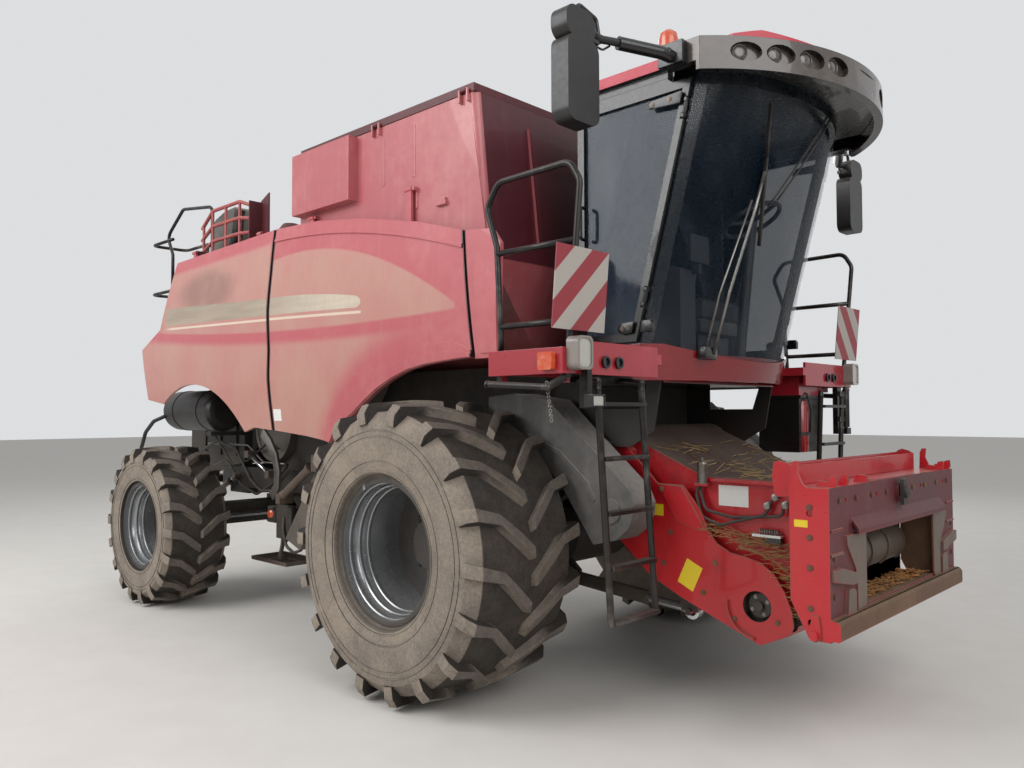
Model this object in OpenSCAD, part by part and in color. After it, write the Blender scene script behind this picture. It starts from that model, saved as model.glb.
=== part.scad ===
// Combine harvester on wheels, without a header.
// Millimetres, +X forward, +Y to the machine's left, +Z up.
// Every place below is measured from a point on the ground under the front axle,
// and the whole machine is then moved so that the origin is below its middle.

/* [Running gear] */
// Distance from the front axle to the rear axle
wheelbase = 3797; // [3650:1:3900]
// Radius of a front tyre over its lugs
front_tyre_r = 930; // [915:1:940]
// Width of a front tyre
front_tyre_w = 900; // [860:1:900]
// Centre of a front tyre from the middle plane
front_track = 1488; // [1480:1:1500]
// Radius of a front rim where the tyre sits
front_rim_r = 430; // [420:1:440]
// Distance between the flanges of a front rim
front_rim_w = 720; // [680:1:740]
// Radius of a rear tyre over its lugs
rear_tyre_r = 735; // [725:1:745]
// Width of a rear tyre
rear_tyre_w = 600; // [560:1:620]
// Centre of a rear tyre from the middle plane
rear_track = 1534; // [1525:1:1560]
// Radius of a rear rim where the tyre sits
rear_rim_r = 380; // [370:1:390]
// Distance between the flanges of a rear rim
rear_rim_w = 480; // [460:1:500]
// Height of a tread lug above the tyre's casing
lug_h = 55; // [40:1:60]
// Width of a tread lug at the shoulder
lug_w = 82; // [70:1:90]
// Number of lugs on one side of a tyre
lug_count = 18; // [16:1:20]
// Distance of a king pin from the middle plane
kingpin_y = 1120; // [1110:1:1130]
// Diameter of a king pin
kingpin_d = 60; // [50:1:70]
// Play between a pin and its bore
pin_gap = 0.5; // [0.3:0.1:1]

/* [Frame and body] */
// Half of the width of the threshing body
body_half = 700; // [680:1:720]
// Height of the frame rails
rail_h = 200; // [180:1:220]
// Width of a frame rail
rail_w = 90; // [80:1:100]
// Height of the underside of the frame rails
rail_z = 1035; // [1025:1:1050]
// Thickness of the body's side sheets and covers
sheet = 12; // [8:1:16]
// Distance of the rear end from the front axle
rear_reach = 5200; // [5150:1:5250]

/* [Feeder house] */
// Distance of the adapter's face from the front axle
front_reach = 2450; // [2440:1:2480]
// Distance of the feeder's hinge from the front axle
feeder_x = 800; // [790:1:820]
// Height of the feeder's hinge
feeder_z = 1520; // [1510:1:1530]
// Half of the width over the feeder's side plates
feeder_half = 690; // [670:1:695]
// Half of the width of the feeder's channel
channel_half = 620; // [600:1:640]
// Thickness of the feeder's plates
feeder_plate = 16; // [12:1:20]
// Half of the width of the adapter frame
adapter_half = 985; // [960:1:1000]
// Running gap between the adapter and the feeder
adapter_gap = 8; // [6:1:12]
// Half of the width of the opening in the adapter
mouth_half = 600; // [580:1:610]
// Height of the lower edge of that opening
mouth_z0 = 770; // [760:1:790]
// Height of the upper edge of that opening
mouth_z1 = 1140; // [1120:1:1160]
// Diameter of the front drum
drum_d = 252; // [240:1:260]

/* [Grain tank] */
// Half of the width of the grain tank
tank_half = 1390; // [1370:1:1395]
// Height of the top of the grain tank
tank_top = 3840; // [3800:1:3860]
// Front wall of the grain tank at its knee, ahead of the front axle
tank_front = 440; // [430:1:450]
// How far the front wall leans back at its top
tank_lean = 120; // [100:1:130]
// How far the raised boxes stand out from the side walls
tank_box_h = 80; // [60:1:84]
// Rear wall of the grain tank, behind the front axle
tank_rear = 1720; // [1700:1:1740]
// Thickness of the tank's walls
tank_wall = 25; // [20:1:30]
// Diameter of the unloading tube
auger_d = 330; // [300:1:350]

/* [Side panels] */
// Widest point of a side panel from the middle plane
panel_y = 1500; // [1490:1:1510]
// Thickness of a side panel
panel_t = 30; // [25:1:40]
// Line between the front and rear side panels, behind the front axle
panel_split = 2020; // [2000:1:2040]
// Gap between neighbouring panels
panel_gap = 28; // [12:1:30]
// Height of the rolled lip round the wheel arch above the panel
flare_h = 22; // [10:1:24]

/* [Cab] */
// Half of the width of the cab
cab_half = 900; // [880:1:910]
// Rear wall of the cab, ahead of the front axle
cab_rear = 760; // [750:1:780]
// Height of the cab's floor
cab_floor_z = 2060; // [2050:1:2080]
// Height of the top of the cab's glass
cab_top_z = 3740; // [3720:1:3760]
// Radius of the windscreen seen from above
screen_r = 1500; // [1450:1:1550]
// Forward lean of the windscreen in degrees
screen_lean = 15; // [14:0.5:16]
// Thickness of the cab's glass
glass_t = 8; // [6:1:10]
// Width of a cab pillar
pillar_w = 60; // [50:1:70]

/* [Platforms] */
// Height of the top of the platforms beside the cab
deck_z = 2110; // [2100:1:2120]
// Outer edge of the platforms from the middle plane
deck_half = 1830; // [1810:1:1850]
// Front edge of the platforms, ahead of the front axle
deck_front = 1410; // [1400:1:1420]
// Diameter of a handrail tube
rail_d = 34; // [30:1:38]
// Depth of the red fascia below the platforms
fascia_z = 1975; // [1960:1:1990]

/* [Hidden] */
$fn = 48;

// The middle of the machine lies halfway between its two ends
front_axle_x = (rear_reach - front_reach) / 2;
rail_top = rail_z + rail_h;
// Top and rear edge of the engine deck
deck_top = 3240;
deck_rear = -3900;

// Colours
red = "#a8322f";
faded_red = "#b8605a";
bright_red = "#b51f22";
dark = "#1c1c1e";
grey = "#6d6a66";
dust = "#8c8377";
silver = "#b9bcbe";
glass = "#55656880";
rubber = "#3a3733";

// Moves children from the front axle's frame to the machine's own frame
module placed() translate([front_axle_x, 0, 0]) children();

// A round bar between two points
module bar(a, b, d) {
    v = b - a;
    len = norm(v);
    translate(a) rotate([0, acos(v.z / len), atan2(v.y, v.x)])
        cylinder(h = len, d = d, $fn = 20);
}

// A bent tube through a list of points, with round elbows
module tube(points, d) {
    for (i = [0 : len(points) - 2]) bar(points[i], points[i + 1], d);
    for (i = [1 : len(points) - 2])
        translate(points[i]) sphere(d = 1.15 * d, $fn = 20);
}

// A box between two corners
module block(a, b) translate(a) cube(b - a);

// An outline in X and Z, as thick as from y0 to y1
module side_plate(y0, y1) translate([0, y1, 0]) rotate([90, 0, 0])
    linear_extrude(y1 - y0) children();

// An outline in Y and Z, as thick as from x0 to x1
module cross_plate(x0, x1) translate([x0, 0, 0]) rotate([90, 0, 90])
    linear_extrude(x1 - x0) children();

// A rectangle round the origin with rounded corners
function rounded(w, h, r) = [for (c = [[1, 1, 0], [-1, 1, 90], [-1, -1, 180], [1, -1, 270]])
    for (a = [0 : 15 : 90]) [c.x * (w / 2 - r) + r * cos(a + c.z),
        c.y * (h / 2 - r) + r * sin(a + c.z)]];

// Points beside a line of points, t to its left, with mitred corners
function left_of(a, b) = [a.y - b.y, b.x - a.x] / norm(b - a);
function beside(p, t) = [for (i = [0 : len(p) - 1])
    let (n1 = left_of(p[max(i - 1, 0)], p[max(i, 1)]),
        n2 = left_of(p[min(i, len(p) - 2)], p[min(i + 1, len(p) - 1)]))
    p[i] + t * (n1 + n2) / (1 + n1 * n2)];
function backwards(p) = [for (i = [len(p) - 1 : -1 : 0]) p[i]];

// A folded sheet's section, from a line of points to t on its left
module fold(points, t) polygon(concat(points, backwards(beside(points, t))));

// Both sides of the machine
module both_sides() {
    children();
    mirror([0, 1, 0]) children();
}

// A disc or ring lying in the wheel plane, turned about Y
module about_y() rotate([-90, 0, 0]) children();

// Half section of a tyre's casing, radius along X and width along Y
module casing_section(r, w, rim, rim_w) {
    h = r - lug_h;
    bead = rim_w / 2;
    wall = h - rim;
    polygon([
        [rim, -bead], [rim + 26, -bead], [rim + 0.12 * wall, -0.46 * w],
        [rim + 0.45 * wall, -0.50 * w + 8], [rim + 0.80 * wall, -0.48 * w],
        [h - 16, -0.40 * w], [h, 0], [h - 16, 0.40 * w],
        [rim + 0.80 * wall, 0.48 * w], [rim + 0.45 * wall, 0.50 * w - 8],
        [rim + 0.12 * wall, 0.46 * w], [rim + 26, bead], [rim, bead]]);
}

// Half section of the space that the lugs fill
module tread_section(r, w) {
    h = r - lug_h;
    polygon([
        [h - 90, -0.50 * w], [r - 75, -0.50 * w], [r - 18, -0.46 * w],
        [r, -0.15 * w], [r, 0.15 * w], [r - 18, 0.46 * w],
        [r - 75, 0.50 * w], [h - 90, 0.50 * w]]);
}

// A lug's outline from the middle of the tread to its edge, nose first
module lug_outline(w) polygon([
    [0.33 * w, 0.012 * w], [0.33 * w - lug_w * 0.8, 0.012 * w],
    [0.07 * w - lug_w * 0.45, 0.28 * w], [-lug_w * 0.5, 0.52 * w],
    [lug_w * 0.5, 0.52 * w], [0.07 * w + lug_w * 0.35, 0.28 * w]]);

// A lug standing on the tread, pointing along X
module lug(r, w) {
    base = 0.84 * (r - lug_h);
    translate([base, 0, 0]) rotate([0, 90, 0]) rotate(90)
        linear_extrude(r + 20 - base) lug_outline(w);
}

module tyre(r, w, rim, rim_w) {
    step = 360 / lug_count;
    color(rubber) about_y() {
        rotate_extrude($fn = 48) casing_section(r, w, rim, rim_w);
        intersection() {
            rotate_extrude($fn = 48) tread_section(r, w);
            for (i = [0 : lug_count - 1]) {
                rotate(i * step) lug(r, w);
                rotate((i + 0.5) * step) mirror([0, 0, 1]) lug(r, w);
            }
        }
    }
}

// A rim with its flanges, its well, its disc and the hub boss that runs on a spindle
module rim(r, w, disc_y, boss_r, boss_in, spindle_d) {
    half = w / 2;
    color(silver) about_y() difference() {
        rotate_extrude($fn = 64) {
            polygon([
                [r + 22, -half - 12], [r + 22, -half], [r, -half], [r, -half + 60],
                [r - 30, -half + 110], [r - 30, half - 110], [r, half - 60],
                [r, half], [r + 22, half], [r + 22, half + 12], [r - 12, half + 12],
                [r - 12, half - 66], [r - 42, half - 116], [r - 42, -half + 116],
                [r - 12, -half + 66], [r - 12, -half - 12]]);
            translate([0, disc_y - 10]) square([r - 36, 20]);
            translate([0, disc_y - boss_in]) square([boss_r, boss_in + 70]);
        }
        translate([0, 0, disc_y - boss_in - 1])
            cylinder(h = boss_in - 20, d = spindle_d + 2 * pin_gap);
        for (i = [0 : 7]) rotate(i * 45) translate([boss_r + 70, 0, disc_y - 20])
            cylinder(h = 40, d = 24, $fn = 16);
    }
}

front_disc = -60;
front_boss_in = 100;
front_spindle_d = 150;
rear_disc = -30;
rear_boss_in = 110;
rear_spindle_d = 80;
final_drive_end = front_track + front_disc - front_boss_in - 30;

module front_wheel_place() translate([0, front_track, front_tyre_r]) children();
module rear_wheel_place() translate([-wheelbase, rear_track, rear_tyre_r]) children();

module tyre_front_left() placed() front_wheel_place()
    tyre(front_tyre_r, front_tyre_w, front_rim_r, front_rim_w);
module tyre_front_right() mirror([0, 1, 0]) tyre_front_left();
module tyre_rear_left() placed() rear_wheel_place()
    tyre(rear_tyre_r, rear_tyre_w, rear_rim_r, rear_rim_w);
module tyre_rear_right() mirror([0, 1, 0]) tyre_rear_left();
module rim_front_left() placed() front_wheel_place()
    rim(front_rim_r, front_rim_w, front_disc, 160, front_boss_in, front_spindle_d);
module rim_front_right() mirror([0, 1, 0]) rim_front_left();
module rim_rear_left() placed() rear_wheel_place()
    rim(rear_rim_r, rear_rim_w, rear_disc, 110, rear_boss_in, rear_spindle_d);
module rim_rear_right() mirror([0, 1, 0]) rim_rear_left();

// Frame: two rails beside the body, cross tubes and posts
rail_y = body_half + rail_w;
rail_rear_x = -4150;
// Posts between the rails and what they carry: place along X and height of the top
posts = [[330, 2140], [-2000, deck_top - sheet], [-3750, deck_top - sheet]];
module frame() color(dark) placed() {
    both_sides() {
        block([rail_rear_x, body_half, rail_z], [450, rail_y, rail_top]);
        for (p = posts)
            block([p[0] - 50, body_half, rail_top], [p[0] + 50, rail_y, p[1]]);
        side_plate(body_half, rail_y) polygon([
            [280, rail_top], [450, rail_top - 60], [feeder_x + 60, feeder_z - 100],
            [feeder_x + 100, feeder_z + 70], [feeder_x - 60, feeder_z + 100],
            [280, rail_top + 300]]);
    }
    // Plates below the cab, each with a window
    both_sides() side_plate(722, 734) difference() {
        polygon([[370, 1990], [1270, 1990], [1210, 1660], [1040, 1560], [370, 1560]]);
        polygon([[750, 1800], [1110, 1800], [1160, 1950], [750, 1950]]);
    }
    about_feeder_hinge() cylinder(h = 2 * rail_y - 20, d = feeder_shaft_d, center = true);
    // Shelf under the fuel tank
    block([-3800, -1150, 1560], [-3700, -rail_y, 1600]);
    block([rail_rear_x, -body_half, rail_z], [rail_rear_x + 90, body_half, rail_top]);
}

// Drive axle with its gearbox, tubes and final drives
tube_half = 85;
module front_axle() color(dark) placed() translate([0, 0, front_tyre_r]) {
    side_plate(-330, 330) difference() {
        circle(r = 290);
        translate([-400, 150]) square([800, 200]);
    }
    both_sides() {
        block([-tube_half, 320, -tube_half], [tube_half, 1010, tube_half]);
        block([-110, body_half, tube_half - 5],
            [110, rail_y, rail_z - front_tyre_r]);
        about_y() {
            translate([0, 0, 1000]) cylinder(h = final_drive_end - 1000, r = 185);
            translate([0, 0, final_drive_end - 5])
                cylinder(h = 105, d = front_spindle_d);
        }
        for (s = [-1, 1]) translate([0, s * 40, 0])
            side_plate(520 - 16, 520 + 16) translate([0, 0])
                polygon([[60, -60], [330, -330], [lift_base_x + 45, lift_base_z
                    - front_tyre_r - 45], [lift_base_x + 45, lift_base_z
                    - front_tyre_r + 45], [60, 60]]);
    }
    both_sides() translate([lift_base_x, 470, lift_base_z - front_tyre_r])
        about_y() cylinder(h = 100, d = 50);
}

// Steering axle: a beam on a centre pivot, with a boss for each king pin
beam_z0 = 640;
beam_z1 = 930;
module rear_axle() color(dark) placed() translate([-wheelbase, 0, 0]) {
    block([-95, -kingpin_y + 70, beam_z0 + 40], [95, kingpin_y - 70, beam_z1 - 40]);
    block([-110, -420, beam_z0], [110, 420, beam_z1]);
    both_sides() difference() {
        translate([0, kingpin_y, beam_z0 + 8]) cylinder(h = beam_z1 - beam_z0 - 16, r = 85);
        translate([0, kingpin_y, beam_z0]) cylinder(h = 400, d = kingpin_d + 2 * pin_gap);
    }
    for (s = [-1, 1]) translate([s * 150 - 25, 0, 0])
        block([0, -130, beam_z1 - 100], [50, 130, rail_z]);
    rotate([0, 90, 0]) translate([-beam_z1 + 70, 0, -190]) cylinder(h = 380, d = 90);
    block([-190, -body_half - rail_w, rail_z - 60], [190, body_half + rail_w, rail_z]);
    translate([170, 0, steer_z]) about_y() difference() {
        translate([0, 0, -300]) cylinder(h = 600, d = 96);
        translate([0, 0, -301]) cylinder(h = 602, d = steer_rod_d + 2 * pin_gap);
    }
    both_sides() block([90, 200, steer_z - 30], [135, 240, steer_z + 30]);
}

steer_z = 770;
steer_rod_d = 44;
steer_arm = 170;
module knuckle_left() color(dark) placed() translate([-wheelbase, kingpin_y, 0]) {
    translate([0, 0, beam_z0 - 50]) cylinder(h = beam_z1 - beam_z0 + 100, d = kingpin_d);
    for (z = [beam_z0 - 50, beam_z1 + 2]) {
        translate([0, 0, z]) cylinder(h = 48, r = 75);
        block([-70, 0, z], [70, 150, z + 48]);
    }
    block([-85, 100, beam_z0 - 50], [85, 150, beam_z1 + 50]);
    translate([0, 0, rear_tyre_r]) about_y() translate([0, 0, 140])
        cylinder(h = rear_track + rear_disc - kingpin_y - 140 - 30, d = rear_spindle_d);
    block([0, -30, beam_z0 - 50], [steer_arm + 40, 30, beam_z0 - 10]);
    translate([steer_arm, 0, beam_z0 - 50]) cylinder(h = 135, d = 60);
}
module knuckle_right() mirror([0, 1, 0]) knuckle_left();

// Rods of the steering cylinder, one through its barrel with an eye at each end
module steering_rods() color(silver) placed() translate([-wheelbase + steer_arm, 0, steer_z]) {
    about_y() translate([0, 0, -kingpin_y + 60])
        cylinder(h = 2 * kingpin_y - 120, d = steer_rod_d);
    both_sides() translate([0, kingpin_y - 30, -40]) cylinder(h = 70, d = 84);
}

// Threshing and cleaning body between the rails
module lower_body() color(dust) placed() {
    side_plate(-body_half, body_half) polygon([
        [560, 1330], [560, 2110], [-3300, 2110], [-3560, 1500], [-3240, 1270],
        [-2760, 800], [-620, 700], [-420, 1250]]);
    // Grain elevators beside the body, one on each side
    both_sides() side_plate(rail_y + 5, rail_y + 165) polygon([
        [-2640, 640], [-2400, 560], [-1250, 2100], [-1500, 2140]]);
    both_sides() side_plate(body_half, rail_y + 5) polygon([
        [-2640, 640], [-2400, 560], [-2200, 830], [-2440, 900]]);
    // Round gear covers above the rear axle
    both_sides() translate([-3180, body_half - 5, 1640]) about_y() difference() {
        cylinder(h = 80, r = 330);
        translate([0, 0, 65]) cylinder(h = 20, r = 290);
    }
    // Step behind the right front wheel: slats in a frame, hung from a bent tube
    translate([step_x, -step_y, step_z]) {
        difference() {
            block([-step_len / 2, -step_w / 2, 0], [step_len / 2, step_w / 2, 36]);
            block([12 - step_len / 2, 12 - step_w / 2, -1],
                [step_len / 2 - 12, step_w / 2 - 12, 40]);
        }
        for (i = [1 : 11])
            block([-step_len / 2 + i * step_len / 12 - 4, 10 - step_w / 2, 4],
                [-step_len / 2 + i * step_len / 12 + 4, step_w / 2 - 10, 32]);
        block([10 - step_len / 2, -6, 6], [step_len / 2 - 10, 6, 30]);
    }
    tube([[-2380, -body_half - 40, 760], [-2760, -body_half - 40, 690],
        [step_x + 60, -body_half - 40, 530], [step_x, -body_half - 40, step_z + 20]], 40);
}
step_x = -3100;
step_y = 680;
step_z = 350;
step_len = 640;
step_w = 360;

// Rounded tank on its shelf behind the right rear panel, held by two straps
fuel_r = 205;
fuel_len = 1060;
module fuel_tank() color(dark) placed()
    translate([-4700, -1012, 1600.3 + fuel_r + 5]) rotate([0, 90, 0]) {
        rotate_extrude($fn = 64) polygon([
            [0, 0], [fuel_r - 80, 0], [fuel_r - 30, 16], [fuel_r - 8, 45], [fuel_r, 80],
            [fuel_r, fuel_len - 80], [fuel_r - 8, fuel_len - 45],
            [fuel_r - 30, fuel_len - 16], [fuel_r - 80, fuel_len], [0, fuel_len]]);
        for (z = [230, 760]) translate([0, 0, z]) cylinder(h = 46, r = fuel_r + 5, $fn = 64);
    }

module engine() color(grey) placed()
    block([-3350, -620, 2110], [-2150, 560, 3020]);

// Deck over the engine
module engine_deck() color(dark) placed() {
    difference() {
        block([deck_rear, -1330, 2100], [-1900, 1330, deck_top]);
        block([deck_rear + sheet, -1330 + sheet, 2090],
            [-1900 - sheet, 1330 - sheet, deck_top - sheet]);
        block([-4100, -1100, 2090], [-1880, 1100, 2700]);
    }
    both_sides() for (x = rear_hinge_xs) panel_pin(x, 1330);
    translate([-3000, -700, deck_top]) cylinder(h = 260, d = 330);
    translate([-3000, -700, deck_top + 260]) cylinder(h = 120, d1 = 330, d2 = 150);
    translate([-2400, 900, deck_top]) cylinder(h = 520, d = 150);
}

// Straw hood with its chopper housing behind the rear axle
module straw_hood() color(dark) placed() {
    difference() {
        side_plate(-hood_half, hood_half) polygon([
            [-3561, 1500], [-3309, 2090], [-4700, 2090], [-rear_reach, 1750],
            [-rear_reach, 1200], [-4900, 1050], [-4100, 1250]]);
        side_plate(-hood_half + sheet, hood_half - sheet) polygon([
            [-3600, 1500], [-3350, 2090 - sheet], [-4700, 2090 - sheet],
            [-rear_reach + sheet, 1740], [-rear_reach + sheet, 1000], [-4200, 1000]]);
    }
    // Stiffening ribs on the side sheets
    both_sides() for (x = [-4850, -4500, -4150])
        block([x, hood_half - 1, 1330], [x + 30, hood_half + 18, 1700]);
    // Cross beam that carries the shafts of the spreader discs
    block([disc_x - 60, -hood_half + sheet, 1200], [disc_x + 60, hood_half - sheet, 1300]);
    both_sides() translate([disc_x, disc_y, disc_z - 10])
        cylinder(h = 300, d = 36 - 2 * pin_gap);
}

// Half of the width of the straw hood
hood_half = 640;
disc_x = -4880;
disc_y = 330;
disc_z = 1010;
module spreader_disc_left() color(silver) placed() translate([disc_x, disc_y, disc_z]) {
    difference() {
        cylinder(h = 10, r = 270, $fn = 64);
        translate([0, 0, -1]) cylinder(h = 12, d = 36);
    }
    for (i = [0 : 5]) rotate(i * 60) block([60, -4, 10], [265, 4, 70]);
    difference() {
        translate([0, 0, 10]) cylinder(h = 50, d = 110);
        cylinder(h = 80, d = 36);
    }
}
module spreader_disc_right() mirror([0, 1, 0]) spreader_disc_left();

// Covers of the feeder drive, between the body and the front wheels
module drive_shields() color(dust) placed() both_sides() {
    difference() {
        side_plate(rail_y + 0.3, shield_y) polygon([
            [60, 1885], [300, 1905], [600, 1860], [780, 1700], [1030, 1490], [1218, 1330],
            [1262, 1239], [1250, 1160], [1216, 1090], [1130, 1020], [960, 975],
            [700, 1330], [380, 1600], [60, 1700]]);
        side_plate(rail_y - 1, shield_y - sheet) polygon([
            [72, 1872], [300, 1892], [594, 1848], [772, 1690], [1021, 1480], [1207, 1323],
            [1249, 1237], [1238, 1164], [1206, 1099], [1125, 1033], [968, 992],
            [710, 1338], [386, 1612], [72, 1712]]);
    }
    // Bearing cover on the flat side
    translate([1090, shield_y - 1, 1190]) about_y() cylinder(h = 14, d = 150);
    side_plate(shield_y - 1, shield_y + 8) polygon([
        [430, 1640], [700, 1540], [930, 1350], [980, 1250], [960, 1230], [905, 1330],
        [685, 1515], [425, 1612]]);
}
// Outer face of the feeder drive's covers, clear of the tyres
shield_y = 1018;

// Rear cover between the side panels
module rear_panel() color(faded_red) placed() {
    side_plate(-1330, 1330) fold([[-4328.6, 2093.1], [-4404, 2449], [-4084, 2629],
        [deck_rear - 0.3, deck_top]], sheet);
}

// Rails round the engine deck
rail_lines = [[3405, 3425], [3530, 3570], [3650, 3720]];
module deck_rails() color(red) placed() {
    both_sides() {
        for (z = rail_lines)
            tube([[-2680, 1290, z.x], [-2900, 1290, z.y], [-3420, 1290, z.y],
                [-3840, 1190, z.x - 20]], rail_d);
        for (x = [-2900, -3160, -3420])
            bar([x, 1290, deck_top], [x, 1290, rail_lines[2].y], rail_d * 0.8);
        bar([-3780, 1204, deck_top], [-3780, 1204, rail_lines[2].x], rail_d * 0.8);
        side_plate(1180, 1192) polygon([
            [-2700, deck_top], [-2700, 3700], [-2560, 3760], [-2560, deck_top]]);
        block([-2700, 1180, deck_top], [-2688, 1310, 3690]);
    }
    // Handrail and two hoops at the right rear corner
    tube([[-3710, -1150, deck_top], [-3710, -1150, 3840], [-4363, -1150, 3925],
        [-4734, -1150, 3690], [-4600, -1150, 3480], [-4600, -1150, 2700]], rail_d);
    bar([-4600, -760, 2700], [-4600, -760, hoop_z + 560], rail_d);
    for (z = [hoop_z, hoop_z + 550])
        tube([[-4600, -1150, z], [-5120, -1150, z], [-5120, -760, z], [-4600, -760, z]], rail_d);
    for (y = [-1150, -760]) bar([-4600, y, 2760], [-4063, y, 2760], rail_d);
}
hoop_z = 3095;

// Grain tank: walls above a hopper, the front one leaning
hopper_z = 2110;
tank_knee_z = 2760;
function tank_front_at(z) = tank_front - tank_lean * (z - tank_knee_z) / (tank_top - tank_knee_z);
module tank_hull(inset) hull() {
    block([-tank_rear + inset, -tank_half + inset, tank_knee_z],
        [tank_front - inset, tank_half - inset, tank_knee_z + 1]);
    block([-1200 + inset, -500 + inset, hopper_z + inset],
        [100 - inset, 500 - inset, hopper_z + inset + 1]);
}
module tank_walls(inset, top) side_plate(-tank_half + inset, tank_half - inset) polygon([
    [-tank_rear + inset, tank_knee_z], [-tank_rear + inset, top],
    [tank_front_at(top) - inset, top], [tank_front - inset, tank_knee_z]]);
module grain_tank() color(faded_red) placed() {
    difference() {
        union() {
            tank_hull(0);
            tank_walls(0, tank_top);
        }
        tank_hull(tank_wall);
        tank_walls(tank_wall, tank_top + 10);
    }
    // Raised boxes on the rear half of each side wall
    both_sides() side_plate(tank_half - 5, tank_half + tank_box_h) polygon([
        [-tank_rear, 3352], [-tank_rear, tank_top - 6], [-950, tank_top - 6], [-950, 3352]]);
    // Pressed beads on the front part of each side wall, and its latch
    both_sides() {
        for (x = [-640, -300]) block([x, tank_half - 1, 3400], [x + 26, tank_half + 5, 3760]);
        block([-40, tank_half - 1, 3150], [60, tank_half + 26, 3178]);
        side_plate(tank_half - 1, tank_half + 20) polygon([
            [-30, 3178], [-10, 3216], [50, 3200], [50, 3178]]);
    }
    // Ribs on the front wall
    for (y = [-900, 0, 900]) side_plate(y - 20, y + 20) polygon([
        [tank_front_at(3700) - 5, 3700], [tank_front_at(3700) + 20, 3700],
        [tank_front_at(2900) + 20, 2900], [tank_front_at(2900) - 5, 2900]]);
    both_sides() for (x = front_hinge_xs) panel_pin(x, tank_half);
    both_sides() for (x = cover_hinge_xs) {
        along_x(x, cover_hinge_y, cover_hinge_z, 90, cover_pin_d);
        for (s = [-1, 1]) translate([x + s * 37.5 - 7.5, 0, 0]) {
            block([0, tank_half - 5, tank_top - 60], [15, cover_hinge_y + 10, tank_top - 10]);
            block([0, cover_hinge_y - 7, tank_top - 20],
                [15, cover_hinge_y + 10, cover_hinge_z + 8]);
        }
    }
    // Foot of the unloading tube on the left wall
    block([auger_x - 90, tank_half - 5, 3290], [auger_x + 90, auger_y, 3400]);
    translate([auger_x, auger_y, 3280]) cylinder(h = 130, r = auger_d / 2);
}

cover_t = 20;
cover_hinge_xs = [-700, 230];
cover_front = tank_front_at(tank_top) - 8;
cover_hinge_y = tank_half + 18;
cover_hinge_z = tank_top + 16;
cover_pin_d = 12;
module along_x(x, y, z, len, d) translate([x - len / 2, y, z]) rotate([0, 90, 0])
    cylinder(h = len, d = d);
module tank_cover_left() color(red) placed() {
    difference() {
        block([-tank_rear + 10, 8, tank_top + 0.3],
            [cover_front, tank_half + 5, tank_top + 56]);
        block([-tank_rear + 10 + cover_t, 8 + cover_t, tank_top],
            [cover_front - cover_t, tank_half + 5 - cover_t, tank_top + 56 - cover_t]);
    }
    for (x = cover_hinge_xs) difference() {
        union() {
            along_x(x, cover_hinge_y, cover_hinge_z, 50, 2 * cover_pin_d);
            block([x - 25, tank_half, cover_hinge_z - 6],
                [x + 25, cover_hinge_y, cover_hinge_z + cover_pin_d]);
        }
        along_x(x, cover_hinge_y, cover_hinge_z, 60, cover_pin_d + 2 * pin_gap);
    }
}
module tank_cover_right() mirror([0, 1, 0]) tank_cover_left();

auger_x = 180;
auger_y = tank_half + 255;
auger_z = 3620;
module unloading_auger() color(faded_red) placed() translate([auger_x, auger_y, 0]) {
    difference() {
        union() {
            translate([0, 0, 3416]) cylinder(h = auger_z - 3416, r = auger_d / 2);
            translate([0, 0, auger_z]) sphere(r = auger_d / 2 + 1);
            translate([0, 0, auger_z]) rotate([0, -90, 0])
                cylinder(h = 5060, r = auger_d / 2);
        }
        translate([-300, 0, auger_z]) rotate([0, -90, 0])
            cylinder(h = 5000, r = auger_d / 2 - 12);
    }
    translate([-5060, 0, auger_z]) rotate([0, -60, 0]) difference() {
        translate([0, 0, -120]) cylinder(h = 320, r = auger_d / 2 + 12);
        translate([0, 0, -200]) cylinder(h = 500, r = auger_d / 2 + 1);
    }
}

// Side panels: outlines in X and Z, bent round a long cylinder
panel_bend_r = 6000;
panel_mid_z = 2450;
module panel_shell(raise) translate([0, panel_y - panel_bend_r, panel_mid_z]) rotate([0, 90, 0])
    difference() {
        translate([0, 0, -5000]) cylinder(h = 6000, r = panel_bend_r + raise, $fn = 360);
        translate([0, 0, -5001]) cylinder(h = 6002, r = panel_bend_r - panel_t, $fn = 360);
    }
// An outline in X and Z on the bent shell, raised above the panel
module on_panel(raise) intersection() {
    panel_shell(raise);
    side_plate(1300, 1560) children();
}
// Line between the front and rear panels: height and bend along X
split_line = [[3300, 0], [2950, 6], [2620, -12], [2300, 8], [2050, -16], [1640, 0]];
function split_edge(dx) = [for (p = split_line) [-panel_split + dx + p.y, p.x]];
// Wheel arch: the lip's inner and outer lines, from the bottom to the front
arch_in = [[-1200, 1558], [-1140, 1630], [-1081, 1684], [-975, 1722], [-862, 1778],
    [-715, 1863], [-562, 1944], [-390, 2012], [-213, 2064], [-50, 2090], [107, 2103],
    [250, 2113], [330, 2117], [400, 2120]];
arch_out = [[-1290, 1572], [-1245, 1690], [-1186, 1778], [-1075, 1880], [-942, 1975],
    [-760, 2075], [-563, 2155], [-390, 2195], [-214, 2218], [-50, 2230], [107, 2236],
    [220, 2226], [303, 2204], [396, 2165]];
function arch_at(t) = [for (i = [0 : len(arch_in) - 1])
    arch_in[i] * (1 - t) + arch_out[i] * t];
module front_panel_outline() polygon(concat(
    [[300, 2930], [-160, 3060], [-800, 3190], [-1400, 3270]],
    split_edge(panel_gap / 2), [[-1530, 1600]], arch_at(0.8)));
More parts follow.
